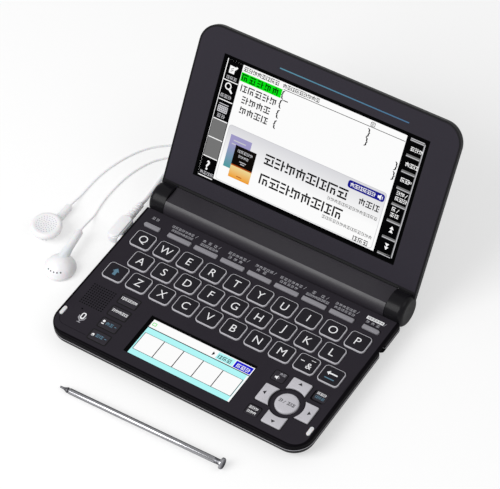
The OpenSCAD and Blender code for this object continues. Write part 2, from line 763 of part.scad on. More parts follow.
module letter_key(x, y) {
    body_top = deck_z + key_rise - key_step;
    color(SILVER) translate([x, y, 0]) {
        translate([0, 0, flange_z]) linear_extrude(flange_t)
            rounded(key_w + 2 * flange_w, key_d + 2 * flange_w, key_r);
        translate([0, 0, flange_z]) linear_extrude(body_top - flange_z) rounded(key_w, key_d, key_r);
        translate([0, 0, stem_z]) cylinder(h = flange_z - stem_z + eps, r = stem_r);
    }
    color(CASE) translate([x, y, body_top - eps]) linear_extrude(key_step + eps)
        rounded(key_w - 2 * key_rim, key_d - 2 * key_rim, key_r - key_rim);
}

module key_cap(rise) {
    translate([0, 0, flange_z]) linear_extrude(deck_z + rise - flange_z) children();
}

module stem() {
    translate([0, 0, stem_z]) cylinder(h = flange_z - stem_z + eps, r = stem_r);
}

// Nine bars on one moulded strip under the deck
module function_keys() {
    color(BAR) {
        translate([bar_x[0] - end_bar_w / 2, bar_y - bar_d / 2 - 0.5, flange_z])
            cube([bar_x[8] - bar_x[0] + end_bar_w, bar_d + 1, flange_t]);
        for (i = [0:8]) translate([bar_x[i], bar_y, 0]) {
            key_cap(key_rise - 0.1) rounded(bar_length(i), bar_d, 0.8);
            stem();
        }
    }
}

// Four low keys on one moulded strip left of the lower screen
module side_keys() {
    color(CASE) translate([side_key_x, side_key_y, 0]) {
        translate([-side_key_w / 2 - 0.4, -side_key_d / 2 - 0.4, flange_z])
            cube([side_key_w + 0.8, 3 * side_key_pitch + side_key_d + 0.8, flange_t]);
        for (i = [0:3]) translate([0, i * side_key_pitch, 0]) {
            key_cap(0.1) rounded(side_key_w, side_key_d, 0.5);
            stem();
        }
    }
}

// Outline of the upper arrow key about the pad's middle, grown by g
module arrow_outline(g) {
    difference() {
        translate([-arrow_w / 2 - g, 0]) square([arrow_w + 2 * g, arrow_out + g]);
        circle(arrow_in_r - g);
        translate([-arrow_w, -1]) square([2 * arrow_w, arrow_in_r * 0.84 - g + 1]);
    }
}

// Four arrow keys on one ring under the deck
module arrow_keys() {
    color(SILVER) translate([dpad_x, dpad_y, 0]) {
        translate([0, 0, flange_z]) linear_extrude(flange_t) difference() {
            circle(arrow_in_r + 1.6);
            circle(arrow_in_r - 1.6);
        }
        for (a = [0:90:270]) rotate(a) {
            key_cap(key_rise) arrow_outline(0);
            translate([0, arrow_out - 2.6, 0]) stem();
        }
    }
}

module enter_key() {
    color(SILVER) translate([dpad_x, dpad_y, 0]) {
        translate([0, 0, flange_z]) cylinder(h = flange_t, r = enter_r + flange_w);
        key_cap(key_rise - 0.2) circle(enter_r);
        translate([0, 0, deck_z]) cylinder(h = key_rise, r = enter_r - 0.5);
        stem();
    }
}

// Three small keys in the corners of the arrow pad
module corner_keys() {
    color(CASE) translate([dpad_x, dpad_y, 0]) for (p = corner_places()) translate(p) {
        translate([0, 0, flange_z]) linear_extrude(flange_t)
            rounded(corner_key_w + 1, corner_key_d + 1, 1.5);
        key_cap(0.1) rounded(corner_key_w, corner_key_d, 1);
        stem();
    }
}

// Stylus lying in front of the case, its disc and the front end of its tube on the table

module stylus() {
    tip_l = 5.6;
    tip_r = stylus_r - 0.05;
    point_r = 0.5;
    collar_l = 3.2;
    disc_t = 1.2;
    tilt = atan((stylus_disc_r - stylus_r) / (stylus_l - disc_t - tip_l));
    lift = stylus_r * cos(tilt) - tip_l * sin(tilt);
    translate([wall_x + 23.8, front_y - 21.05, table_z + lift]) rotate([0, 0, 1]) rotate([0, 90 - tilt, 0]) {
        color(CASE) rotate_extrude()
            polygon([[0, 0], [point_r, 0.2], [point_r + 0.1, 0.8], [point_r + 0.3, 2.2], [tip_r, tip_l - 1.7],
                     [tip_r, tip_l - 1], [tip_r - 0.35, tip_l], [0, tip_l]]);
        color(METAL) translate([0, 0, tip_l]) cylinder(h = stylus_l - tip_l - collar_l - disc_t, r = stylus_r);
        color(CASE) translate([0, 0, stylus_l - collar_l - disc_t]) cylinder(h = collar_l, r = stylus_r - 0.05);
        color(METAL) translate([0, 0, stylus_l - disc_t]) cylinder(h = disc_t, r = stylus_disc_r);
    }
}

// Earphones

module earphone_plug() {
    boss_l = wall_x - 0.1 - plug_body_x - plug_body_w / 2;
    body_z = jack_z - plug_body_h / 2;
    body_y = plug_back_y - plug_body_l / 2;
    color(WHITE) {
        translate([plug_body_x, body_y, body_z]) {
            linear_extrude(plug_body_h) rounded(plug_body_w - 1.2, plug_body_l - 1.2, 2.4);
            translate([0, 0, 0.6]) linear_extrude(plug_body_h - 1.2) rounded(plug_body_w, plug_body_l, 3);
        }
        translate([plug_body_x, jack_y, jack_z]) rotate([0, 90, 0]) cylinder(h = plug_body_w / 2 + boss_l, r = 2.2);
        for (i = [0:4]) translate([cord_x, plug_back_y - 0.1 + i * (relief_l - 2.2) / 4, jack_z - 0.12 * i])
            rotate([-90, 0, 0]) cylinder(h = 1.9, r = 2.2 - 0.14 * i);
        translate([cord_x, plug_back_y - 0.1, jack_z - 0.3]) rotate([-90, 0, 0]) cylinder(h = relief_l - 0.4, r = 1.5);
        translate([cord_x, plug_back_y + relief_l - 1.8, jack_z - 0.6]) rotate([-90, 0, 0]) cylinder(h = 1.8, r = 1.5);
    }
    color(METAL) translate([wall_x - 0.1, jack_y, jack_z]) rotate([0, 90, 0]) rotate_extrude()
        polygon([[0, 0], [plug_r, 0], [plug_r, plug_l - 3.2], [1.3, plug_l - 2.6], [plug_r - 0.1, plug_l - 1.8],
                 [0.7, plug_l], [0, plug_l]]);
}

// Smooth curve through the route points
function cat(a, b, c, d, t) =
    0.5 * ((2 * b) + (c - a) * t + (2 * a - 5 * b + 4 * c - d) * t * t + (3 * b - a - 3 * c + d) * t * t * t);
function smooth(p, n) = concat(
    [for (i = [0:len(p) - 2], j = [0:n - 1])
        cat(p[max(i - 1, 0)], p[i], p[i + 1], p[min(i + 2, len(p) - 1)], j / n)],
    [p[len(p) - 1]]);
function unit(v) = v / norm(v);
function heading(p, i) = unit(p[min(i + 1, len(p) - 1)] - p[max(i - 1, 0)]);
function ring(p, i, r, sides) =
    let (t = heading(p, i), side = unit(cross([0, 0, 1], t)), up = cross(t, side))
    [for (k = [0:sides - 1]) p[i] + r * (cos(360 * k / sides) * side + sin(360 * k / sides) * up)];

// Sweeps a round section along the points as one closed tube
module tube(p, r, sides) {
    n = len(p);
    points = concat([for (i = [0:n - 1], q = ring(p, i, r, sides)) q], [p[0], p[n - 1]]);
    faces = concat(
        [for (i = [0:n - 2], k = [0:sides - 1]) let (a = i * sides + k, b = i * sides + (k + 1) % sides)
            [a, a + sides, b]],
        [for (i = [0:n - 2], k = [0:sides - 1]) let (a = i * sides + k, b = i * sides + (k + 1) % sides)
            [b, a + sides, b + sides]],
        [for (k = [0:sides - 1]) [n * sides, k, (k + 1) % sides]],
        [for (k = [0:sides - 1]) [n * sides + 1, (n - 1) * sides + (k + 1) % sides, (n - 1) * sides + k]]);
    polyhedron(points, faces);
}

module earphone_cord() {
    color(WHITE) tube(TWIN_ROUTE, twin_d / 2, 8);
}

// Coil in two layers: in along the top, down in half a turn, and out again on the table
loop_rings = 24;
function coil_radius(t) = coil_out_r - min(t, coil_turns - t) * coil_pitch;
function coil_height(t) =
    let (u = min(max((t - coil_turns / 2 + 0.25) / 0.5, 0), 1))
    coil_top_z - coil_pitch * (3 * u * u - 2 * u * u * u);
function on_circle(r, a, z) = [coil_x + r * cos(a), coil_y + r * sin(a), z];
COIL = concat(
    [[coil_x - coil_straight, coil_y - coil_out_r, coil_top_z]],
    [for (i = [0:coil_turns * loop_rings]) let (t = i / loop_rings)
        on_circle(coil_radius(t), 360 * t - 90, coil_height(t))],
    [[coil_x - coil_straight, slider_y, twin_z]]);

// One lead wound outwards round the coil from the slider
function wound_lead(first_r, y_off) = concat(
    [[lead_start_x, slider_y + y_off, lead_z], [lead_start_x - 1, slider_y + y_off * 1.3, lead_z]],
    [for (i = [0:(wind_end - wind_start) / 360 * loop_rings]) let (a = wind_start + i * 360 / loop_rings)
        on_circle(first_r + (a - wind_start) / 360 * 2 * lead_pitch, a, lead_z)]);
LEFT_WOUND = wound_lead(left_wind_r, 0.6);
RIGHT_WOUND = wound_lead(wind_r, -0.6);

function route_length(p) = let (steps = [for (i = [0:len(p) - 2]) norm(p[i + 1] - p[i])])
    steps * [for (s = steps) 1];
function least_gap(p, q, skip) =
    min([for (i = [0:len(p) - 1 - skip], j = [i + skip:len(q) - 1]) norm(p[i] - q[j])]);
echo(coil_gap_to_itself = least_gap(COIL, COIL, loop_rings / 2) - twin_d);
echo(wound_lead_gap_to_itself = least_gap(LEFT_WOUND, LEFT_WOUND, loop_rings / 2) - lead_d,
     gap_to_other_lead = least_gap(LEFT_WOUND, RIGHT_WOUND, 3) - lead_d,
     gap_to_coil = least_gap(RIGHT_WOUND, COIL, 0) - (lead_d + twin_d) / 2);
echo(coil_length = route_length(COIL), cord_length = route_length(smooth(TWIN_ROUTE, 3)));
echo(left_lead = route_length(LEFT_WOUND) + route_length(smooth(LEFT_ROUTE, 3)),
     right_lead = route_length(RIGHT_WOUND) + route_length(smooth(RIGHT_ROUTE, 3)));

module earphone_coil() {
    color(WHITE) tube(COIL, twin_d / 2, 6);
}

module cord_slider() {
    color(WHITE) translate([slider_x, slider_y, table_z + 1.3]) rotate([0, 90, 0])
        cylinder(h = slider_l - 0.04, r = 1.25, center = true);
}

// The two leads wound once round the coil
module lead_coil() {
    color(WHITE) {
        tube(LEFT_WOUND, lead_d / 2, 6);
        tube(RIGHT_WOUND, lead_d / 2, 6);
    }
}

// The two leads between their winding and the earpieces
module ear_leads() {
    color(WHITE) {
        tube(concat(LEFT_ROUTE, [LEFT_WOUND[len(LEFT_WOUND) - 1]]), lead_d / 2, 8);
        tube(concat(RIGHT_ROUTE, [RIGHT_WOUND[len(RIGHT_WOUND) - 1]]), lead_d / 2, 8);
    }
}

// One earpiece about the middle of its face, face towards +Z, stem along +Y
module earpiece(stem_l) {
    stem_depth = 5.7;
    rotate_extrude() polygon([
        [0, 0.3], [ear_r - 2.7, 0.2], [ear_r - 0.8, -0.3], [ear_r, -1.2], [ear_r, -2.2], [ear_r - 0.5, -3.4],
        [ear_r - 1.8, -5], [ear_r - 3.6, -6.6], [ear_r - 5.6, -7.6], [0, -8]]);
    translate([0, 1.5, -stem_depth]) rotate([-90, 0, 0]) {
        cylinder(h = stem_l - 1.9, r = 2.2);
        cylinder(h = stem_l - 1.5, r = 1.8);
        sphere(2.2);
    }
}

module earpieces() {
    left_forward = 2.5;
    color(WHITE) {
        translate([-112.8, left_forward - 0.6, table_z + 8]) earpiece(ear_stem_l - left_forward);
        translate([-93.5, -13.8, table_z + 0.3]) rotate([0, 0, 7.8]) rotate([0, 180, 0]) earpiece(ear_stem_l);
    }
}

bottom_case();
top_case();
hinge_cover();
battery_cover();
batteries();
battery_contacts();
circuit_board();
key_mat();
speaker();
earphone_jack();
touch_screen();
screws();
feet();
bumpers();
hinge_pins();
lid_front();
lid_back();
main_screen();
for (k = LETTERS) letter_key(key_x(k[1]), key_y(k[2]));
function_keys();
side_keys();
arrow_keys();
enter_key();
corner_keys();
stylus();
earphone_plug();
earphone_cord();
earphone_coil();
cord_slider();
lead_coil();
ear_leads();
earpieces();
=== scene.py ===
import math

import bpy
from mathutils import Matrix, Vector


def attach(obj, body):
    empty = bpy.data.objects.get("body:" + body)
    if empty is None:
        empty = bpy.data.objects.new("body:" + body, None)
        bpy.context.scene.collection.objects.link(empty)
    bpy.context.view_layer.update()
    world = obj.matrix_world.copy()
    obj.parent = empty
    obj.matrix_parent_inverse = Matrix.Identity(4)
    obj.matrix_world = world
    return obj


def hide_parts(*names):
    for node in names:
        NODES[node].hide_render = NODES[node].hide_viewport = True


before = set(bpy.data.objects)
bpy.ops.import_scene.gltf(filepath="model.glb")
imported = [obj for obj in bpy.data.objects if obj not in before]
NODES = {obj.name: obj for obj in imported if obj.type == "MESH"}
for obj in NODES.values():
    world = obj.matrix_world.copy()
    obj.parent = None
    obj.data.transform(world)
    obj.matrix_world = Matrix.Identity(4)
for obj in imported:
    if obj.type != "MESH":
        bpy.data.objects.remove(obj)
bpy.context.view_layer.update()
MM = 0.001

# Places shared with the construction, in millimetres
DECK_Z = 9.8
HINGE_Y = 44.25
HINGE_Z = 9.2
LID_LEAN = 57
TABLE_Z = -1
WALL_X = -74
FRONT_Y = -52.75
BARREL_HALF = 64
SPEAKER_X = -61.1
SPEAKER_Y = -25.4
GRILLE_PITCH = 1.4

# Camera, at the photograph's viewing angle
CAMERA_LENS = 184.03
CAMERA_PLACE = (475.564, -612.724, 974.322)
CAMERA_RIGHT = (0.83594484, 0.54598179, -0.05567865)
CAMERA_UP = (-0.38775534, 0.65937199, 0.64410742)
CAMERA_BACK = (0.38838387, -0.51684858, 0.76290597)


def link(name, data):
    """A new object for the data, in the scene"""
    thing = bpy.data.objects.new(name, data)
    bpy.context.scene.collection.objects.link(thing)
    return thing


def set_camera():
    data = bpy.data.cameras.new("view")
    data.lens = CAMERA_LENS
    data.sensor_width = 36
    data.clip_start = 0.05
    place = Matrix((CAMERA_RIGHT, CAMERA_UP, CAMERA_BACK)).transposed().to_4x4()
    place.translation = Vector(CAMERA_PLACE) * MM
    camera = link("view", data)
    camera.matrix_world = place
    bpy.context.scene.camera = camera


# Finishes

def painted(piece, *finishes):
    piece.data.materials.clear()
    for finish in finishes:
        piece.data.materials.append(finish)
    return piece


def tone(code, level=1.0):
    """Colour of a six-digit code as Blender wants it, brightened by level"""
    found = []
    for i in (1, 3, 5):
        part = int(code[i:i + 2], 16) / 255
        straight = part / 12.92 if part < 0.04045 else ((part + 0.055) / 1.055) ** 2.4
        found.append(min(straight * level, 1))
    return (*found, 1)


def math_node(operation, swapped=False):
    """A method of Level that makes a node for one operation"""
    def made(self, other=0):
        first, second = (other, self) if swapped else (self, other)
        node = self.finish.add("Math", {0: first, 1: second}, operation=operation)
        return Level(self.finish, node.outputs[0])
    return made


class Level:
    """A shader socket that can be used in sums"""

    def __init__(self, finish, socket):
        self.finish = finish
        self.socket = socket

    __add__ = math_node("ADD")
    __radd__ = math_node("ADD", True)
    __sub__ = math_node("SUBTRACT")
    __rsub__ = math_node("SUBTRACT", True)
    __mul__ = math_node("MULTIPLY")
    __gt__ = math_node("GREATER_THAN")
    size = math_node("ABSOLUTE")
    root = math_node("SQRT")
    least = math_node("MAXIMUM")


class Finish:
    """One material, made node by node"""

    def __init__(self, name):
        self.material = bpy.data.materials.new(name)
        self.material.use_nodes = True
        self.tree = self.material.node_tree
        self.tree.nodes.clear()
        self.spot = self.add("TexCoord").outputs["Object"]

    def add(self, kind, sockets=None, **settings):
        """A node whose inputs are numbers, colour codes, levels or other nodes' outputs"""
        node = self.tree.nodes.new("ShaderNode" + kind)
        for key, value in settings.items():
            setattr(node, key, value)
        for key, value in (sockets or {}).items():
            if isinstance(value, str):
                value = tone(value)
            if isinstance(value, Level):
                value = value.socket
            if isinstance(value, bpy.types.NodeSocket):
                self.tree.links.new(value, node.inputs[key])
            else:
                node.inputs[key].default_value = value
        return node

    def along(self, axis):
        """Place along an axis, in metres"""
        return Level(self, self.add("SeparateXYZ", {0: self.spot}).outputs[axis])

    def cloud(self, scale, detail=2, rough=0.5, stretch=None):
        """Noise, with a scale for each axis in place of one for all if stretch is given"""
        spot = self.spot
        if stretch:
            spot = self.add("Mapping", {"Vector": spot, "Scale": stretch}).outputs[0]
        sockets = {"Vector": spot, "Scale": scale, "Detail": detail, "Roughness": rough}
        return Level(self, self.add("TexNoise", sockets).outputs[0])

    def grains(self, scale):
        return Level(self, self.add("TexVoronoi", {"Vector": self.spot, "Scale": scale}).outputs[0])

    def between(self, mask, low, high):
        """How far mask has gone from low to high, as 0 to 1"""
        sockets = {"Value": mask, "From Min": low, "From Max": high}
        return Level(self, self.add("MapRange", sockets, clamp=True).outputs[0])

    def blend(self, mask, first, second):
        return self.add("Mix", {0: mask, 6: first, 7: second}, data_type="RGBA").outputs[2]

    def done(self, colour, rough, shine=0.5, relief=None, **sockets):
        """The material; relief is a height from 0 to 1 and the depth in millimetres that it stands for"""
        named = {"Base Color": colour, "Roughness": rough, "Specular IOR Level": shine}
        for key, value in sockets.items():
            named[key.replace("_", " ")] = value
        if relief:
            height, depth = relief
            bump = self.add("Bump", {"Height": height, "Distance": depth * MM, "Strength": 1})
            named["Normal"] = bump.outputs[0]
        shader = self.add("BsdfPrincipled", named)
        self.add("OutputMaterial", {"Surface": shader.outputs[0]})
        return self.material


def moulded(name, shade, rough, grain, depth, shine, mottle=0.1):
    """Moulded plastic with a fine spark-eroded grain, faint cloudiness and handling marks"""
    finish = Finish(name)
    grit = finish.grains(grain)
    haze = finish.cloud(60, 3)
    mask = haze * 0.6 + finish.cloud(900) * 0.4
    colour = finish.blend(mask, tone(shade, 1 - mottle), tone(shade, 1 + mottle))
    gloss = rough + (haze - 0.5) * 0.12 + (grit - 0.5) * 0.06
    return finish.done(colour, gloss, shine, (grit, depth))


def deck_finish():
    """Fine-grained charcoal deck with a black rim and walls, partly their own black and partly painted shade
    on the rounded edge, and a painted highlight, a paler line where the case halves meet
    """
    core_w, core_d = 65 * MM, 43.75 * MM
    rim_start, rim_end = 7.35 * MM, 7.55 * MM
    highlight_low, highlight_high = 5.92 * MM, 6 * MM
    finish = Finish("deck_charcoal")
    grain = finish.cloud(5200, 3)
    patches = finish.cloud(160, 3)
    charcoal = finish.blend((grain - 0.5) * 0.3 + patches * 0.4, "#2a272d", "#322f35")
    # Black band over the deck's rounded edge and walls: partly the case's own black, partly painted shade
    # where the edge turns from the light
    across = (finish.along("X").size() - core_w).least(0)
    forward = (finish.along("Y") * -1 - core_d).least(0)
    rim = finish.between((across * across + forward * forward).root(), rim_start, rim_end)
    # Painted highlight: a pale band low on the wall, where the edge at the case halves would catch the light
    seam_highlight = 1 - finish.between(finish.along("Z"), highlight_low, highlight_high)
    colour = finish.blend(rim, charcoal, "#0b090d")
    colour = finish.blend(seam_highlight * rim, colour, "#a9a7ad")
    return finish.done(colour, 0.55 + grain * 0.1 - rim * 0.2, 0.03, (grain, 0.012))


def case_finish():
    """Glossy black case plastic with dust-fine specks and hairline rubs"""
    finish = Finish("case_black")
    rubs = finish.cloud(700, 4, 0.6, (1, 1, 9))
    specks = finish.between(finish.cloud(5200, 1), 0.74, 0.8)
    colour = finish.blend(specks * 0.5, "#0b0a0c", "#3c3a40")
    gloss = 0.2 + (rubs - 0.5) * 0.1 + finish.cloud(45) * 0.08
    return finish.done(colour, gloss, 0.05, (rubs, 0.004))


def lid_back_finish():
    """Dark lacquer with a fine metallic fleck on the lid's back and end caps"""
    finish = Finish("lid_lacquer")
    flecks = finish.between(finish.grains(3800), 0.1, 0)
    haze = finish.cloud(70)
    colour = finish.blend(flecks * 0.45, "#161518", "#3c3942")
    return finish.done(colour, 0.27 + haze * 0.08, 0.1, Coat_Roughness=0.06, Coat_Weight=0.03 + haze * 0.04)


def brushed(name, shade, rough, edge):
    """Metal drawn along X, with a dark edge tint where it turns away: a painted reflection, dark lines along
    its edges
    """
    finish = Finish(name)
    lines = finish.cloud(1, 3, 0.6, (60, 5000, 5000))
    mask = lines * 0.7 + finish.cloud(140) * 0.3
    colour = finish.blend(mask, tone(shade, 0.82), tone(shade, 1.12))
    gloss = rough + (lines - 0.5) * 0.22
    return finish.done(colour, gloss, relief=(lines, 0.004), Metallic=1, Specular_Tint=edge)


def spring_finish():
    """Turned steel, its fine rings round the barrel's length"""
    finish = Finish("spring_steel")
    rings = finish.cloud(1, 2, 0.5, (9000, 300, 300))
    colour = finish.blend(rings, tone("#a9aaad", 0.8), tone("#a9aaad", 1.1))
    return finish.done(colour, 0.24 + rings * 0.15, relief=(rings, 0.006), Metallic=1)


def board_finish():
    """Green solder mask with pale track lines, dark parts above it and bright joints"""
    board_top = 4.35 * MM
    finish = Finish("board_green")
    tall = finish.along("Z") > board_top
    tracks = finish.add("TexBrick", {
        "Vector": finish.spot, "Scale": 260, "Mortar Size": 0.045, "Color1": "#000000",
        "Color2": (0.15, 0.15, 0.15, 1), "Mortar": "#ffffff", "Brick Width": 0.9, "Row Height": 0.22},
        offset=0.37, squash=1.6)
    mask = finish.blend(finish.cloud(300, 3), "#0d4a2a", "#1a6b40")
    copper = finish.blend(tracks.outputs["Color"], mask, "#2f8a58")
    chip = finish.blend(finish.cloud(1500), "#17171a", "#2a2a2e")
    colour = finish.blend(tall, copper, chip)
    return finish.done(colour, 0.35 + tall * 0.25, relief=(finish.cloud(2600), 0.01))


def cell_finish():
    """Dry cell: a bright wrap with a dark band at one end"""
    finish = Finish("cell_silver")
    wave = finish.add("TexWave", {"Vector": finish.spot, "Scale": 6.2, "Distortion": 0, "Phase Offset": 0.9},
                      wave_type="BANDS", bands_direction="X", wave_profile="SAW")
    band = Level(finish, wave.outputs[1]) > 0.68
    sheen = finish.cloud(1, 2, 0.5, (4000, 90, 90))
    colour = finish.blend(band, finish.blend(sheen, "#9b9da2", "#c3c5ca"), "#22242a")
    return finish.done(colour, 0.3 + sheen * 0.14, relief=(sheen, 0.006), Metallic=0.75 - band * 0.6)


def rubber(name, shade, grain):
    """Rubber with a fine grain and a little bloom"""
    finish = Finish(name)
    grit = finish.cloud(grain, 3, 0.7)
    bloom = finish.between(finish.cloud(420, 3), 0.45, 0.75)
    colour = finish.blend(bloom * 0.4, shade, tone(shade, 1.7))
    return finish.done(colour, 0.82 - grit * 0.15, 0.3, (grit, 0.03))


def soft_white(name, shade, rough, grain, shine=0.4):
    """White plastic that lets a little light in, with faint grey clouds"""
    finish = Finish(name)
    grit = finish.cloud(grain, 3)
    colour = finish.blend(finish.cloud(160) * 0.5, shade, tone(shade, 0.86))
    return finish.done(colour, rough + (grit - 0.5) * 0.1, shine, (grit, 0.008), Subsurface_Weight=0.12,
                       Subsurface_Scale=0.8 * MM)


def screen_glass(name, shade):
    """Black display glass with a trace of wiping marks"""
    finish = Finish(name)
    wipes = finish.cloud(1, 3, 0.6, (40, 160, 160))
    dust = finish.between(finish.cloud(3600, 1), 0.76, 0.82)
    return finish.done(finish.blend(dust * 0.6, shade, "#1b1b1f"), 0.06 + wipes * 0.08, 0.04)


def print_and_shade_ink(name, shade, second=None):
    """Slightly uneven flat colour, used for pad print and for painted shade, or running to a second colour
    across the lid
    """
    finish = Finish(name)
    uneven = finish.cloud(5000)
    colour = finish.blend(uneven, tone(shade, 0.86), tone(shade, 1.06))
    if second:
        colour = finish.blend(finish.between(finish.along("X"), -25 * MM, 45 * MM), colour, second)
    return finish.done(colour, 0.5 + uneven * 0.12, 0.25)


# Front face of the lid and its glass, along the lid's own normal
LID_FACE = -1.55
MAIN_GLASS_N = LID_FACE - 0.5


def lid_height(s):
    """Height above the underside of a place on the display, s along the lid, in metres"""
    lean = math.radians(LID_LEAN)
    return (HINGE_Z + s * math.sin(lean) + MAIN_GLASS_N * math.cos(lean)) * MM


def glow(name, shade, second=None, low=0, high=1):
    """Lit colour with the raster of its picture points, or a run between two places up the lid"""
    finish = Finish(name)
    colour = shade
    if second:
        run = finish.between(finish.along("Z"), lid_height(low), lid_height(high))
        colour = finish.blend(run, shade, second)
    raster = finish.cloud(5200, 0) * 0.06
    shown = finish.blend(raster, colour, "#000000")
    return finish.done("#000000", 0.14 + raster, 0.02, Emission_Color=shown, Emission_Strength=1)


DECK = deck_finish()
BEZEL = moulded("bezel_charcoal", "#2d2a32", 0.52, 5200, 0.01, 0.08)
BARREL = moulded("barrel_charcoal", "#2a272d", 0.36, 5200, 0.008, 0.42)
CASE = case_finish()
LACQUER = lid_back_finish()
DARK_CAP = moulded("key_charcoal", "#242227", 0.45, 4200, 0.008, 0.07)
FLAT_CAP = moulded("flat_key_charcoal", "#302d33", 0.45, 4200, 0.008, 0.1)
RIM = moulded("key_silver", "#bfbdc3", 0.34, 4600, 0.006, 0.3, 0.05)
BARS = moulded("bar_grey", "#8c8a90", 0.4, 4600, 0.006, 0.2, 0.06)
INNER = moulded("inner_black", "#151517", 0.5, 3000, 0.01, 0.3)
WHITE_EARS = soft_white("earphone_white", "#f6f5f7", 0.3, 3000)
WHITE_CORD = soft_white("cord_white", "#f6f6f8", 0.42, 2400, 0.35)
BUMPER = soft_white("bumper_white", "#dedee0", 0.5, 2600, 0.3)
MAIN_GLASS = screen_glass("main_glass", "#020202")
TOUCH_GLASS = screen_glass("touch_glass", "#030303")
# The dark edge tints paint dark reflections along the stylus's edges
STEEL = brushed("stylus_steel", "#b4b4b8", 0.2, "#1c1c20")
TIP_GREY = brushed("stylus_tip", "#7a7a7e", 0.4, "#38383c")
SPRING = spring_finish()
FEET_RUBBER = rubber("rubber_black", "#161618", 4200)
MAT_RUBBER = rubber("rubber_grey", "#55575b", 3400)
BOARD = board_finish()
CELLS = cell_finish()
LEGEND = print_and_shade_ink("legend_white", "#f2f2f4")
BLUE_LEGEND = print_and_shade_ink("legend_blue", "#5a7f93")
GREY_LEGEND = print_and_shade_ink("legend_grey", "#a3a2a8")
DARK_LEGEND = print_and_shade_ink("legend_dark", "#222126")
# Black painted shade for the gaps round keys, the speaker holes and the lid's chin
GAP_SHADE = print_and_shade_ink("painted_gap_shade", "#060507")
ACCENT = print_and_shade_ink("accent_blue", "#4b8398", "#3a6488")
# Grey painted shade for the vent holes on the bud's back
VENT_SHADE = print_and_shade_ink("vent_hole_shade", "#5c5a60")
# Pale grey painted shade for the openings in the bud's face
HOLE_SHADE = print_and_shade_ink("ear_hole_shade", "#c9c9d0")
LIT_WHITE = glow("lit_white", "#ffffff")
LIT_BLACK = glow("lit_black", "#020203")
LIT_GREEN = glow("lit_green", "#00e010")
LIT_GREY = glow("lit_grey", "#767676")
LIT_BLUE = glow("lit_blue", "#1a1a8c")
LIT_CYAN = glow("lit_cyan", "#b4fafa")
LIT_TAB = glow("lit_tab", "#1818d0")
LIT_PALE = glow("lit_pale", "#c8c8cc")
LIT_CARD = glow("lit_card", "#ffffff", "#dcdce0", 32, 50)
BOOK_BACK = glow("book_back", "#3f9c9c", "#a09ac8", 28, 42)
BOOK_DARK = glow("book_dark", "#0c0806")
BOOK_AMBER = glow("book_amber", "#f09a10", "#f0e0a0", 25, 32)
BOOK_RED = glow("book_red", "#b04a10")

NODE_FINISH = (
    (CASE, "bottom_case"), (DECK, "top_case"), (BARREL, "hinge_cover battery_cover"), (CELLS, "batteries"),
    (SPRING, "battery_contacts screws hinge_pins"), (BOARD, "circuit_board"), (MAT_RUBBER, "key_mat"),
    (INNER, "speaker earphone_jack"), (TOUCH_GLASS, "touch_screen"), (FEET_RUBBER, "feet"),
    (BUMPER, "bumpers"), (BEZEL, "lid_front"), (LACQUER, "lid_back"), (MAIN_GLASS, "main_screen"),
    (BARS, "function_keys"),
    (FLAT_CAP, "side_keys corner_keys"), (RIM, "arrow_keys enter_key"), (STEEL, "stylus"),
    (WHITE_EARS, "earphone_plug cord_slider earpieces"),
    (WHITE_CORD, "earphone_cord earphone_coil lead_coil ear_leads"))
for node in NODES.values():
    painted(node, DARK_CAP)
for finish, names in NODE_FINISH:
    for name in names.split():
        painted(NODES[name], finish)


# Modelling helpers, with every measure in millimetres

def mode(name):
    bpy.ops.object.mode_set(mode=name)


def pick(piece=None):
    """Only this piece is selected, or none"""
    bpy.ops.object.select_all(action="DESELECT")
    if piece:
        piece.select_set(True)
        bpy.context.view_layer.objects.active = piece


def choose(piece, kind, wanted):
    """In edit mode, with just the wanted edges selected, by their two ends, or faces, by middle and normal"""
    pick(piece)
    mode("EDIT")
    bpy.ops.mesh.select_mode(type=kind)
    bpy.ops.mesh.select_all(action="DESELECT")
    mode("OBJECT")
    if kind == "FACE":
        for face in piece.data.polygons:
            face.select = bool(wanted(face.center / MM, face.normal))
    else:
        spots = [v.co / MM for v in piece.data.vertices]
        for edge in piece.data.edges:
            edge.select = bool(wanted(*[spots[i] for i in edge.vertices]))
    mode("EDIT")


def rounded(piece, wanted, radius, segments):
    """The piece with the wanted edges rounded off"""
    choose(piece, "EDGE", wanted)
    bpy.ops.mesh.bevel(offset=radius * MM, segments=segments, affect="EDGES", clamp_overlap=True)
    mode("OBJECT")
    return piece


def level_at(height):
    return lambda a, b: abs(a.z - height) < 0.01 and abs(b.z - height) < 0.01


def eased(piece, height, radius, segments=2):
    return rounded(piece, level_at(height), radius, segments)


def upright(a, b):
    return abs(a.x - b.x) < 0.01 and abs(a.y - b.y) < 0.01


def smooth(piece, angle=40):
    pick(piece)
    bpy.ops.object.shade_smooth_by_angle(angle=math.radians(angle))
    return piece


def join(first, *others):
    """All pieces in the first one, which lends its finish to those that have none"""
    for piece in others:
        if not piece.data.materials and first.data.materials:
            piece.data.materials.append(first.data.materials[0])
    pick(first)
    for piece in others:
        piece.select_set(True)
    if others:
        bpy.ops.object.join()
    return first


def shift(x, y, z):
    return Matrix.Translation(Vector((x, y, z)) * MM)


def turn_on(axis, degrees):
    return Matrix.Rotation(math.radians(degrees), 4, axis)


def placed(piece, matrix):
    """The piece's mesh moved to its place, and its object left at the origin"""
    piece.data.transform(matrix)
    return piece


def settled(piece, body, slot, *nodes):
    """The piece rides on a body and stands for nodes of the construction; slot is not used"""
    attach(piece, body)
    if nodes:
        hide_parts(*nodes)
    return piece


def lines_through(name, lines, flat=False):
    """A curve of open splines through points, or of closed ones in a plane"""
    data = bpy.data.curves.new(name, "CURVE")
    data.dimensions = "2D" if flat else "3D"
    for points in lines:
        spline = data.splines.new("POLY")
        spline.points.add(len(points) - 1)
        spline.use_cyclic_u = flat
        for spot, place in zip(spline.points, points):
            spot.co = (*[c * MM for c in place], 1)
    return link(name, data)


def close_up():
    """Leaves edit mode with every face of the mesh turned outwards"""
    bpy.ops.mesh.select_all(action="SELECT")
    bpy.ops.mesh.normals_make_consistent(inside=False)
    mode("OBJECT")


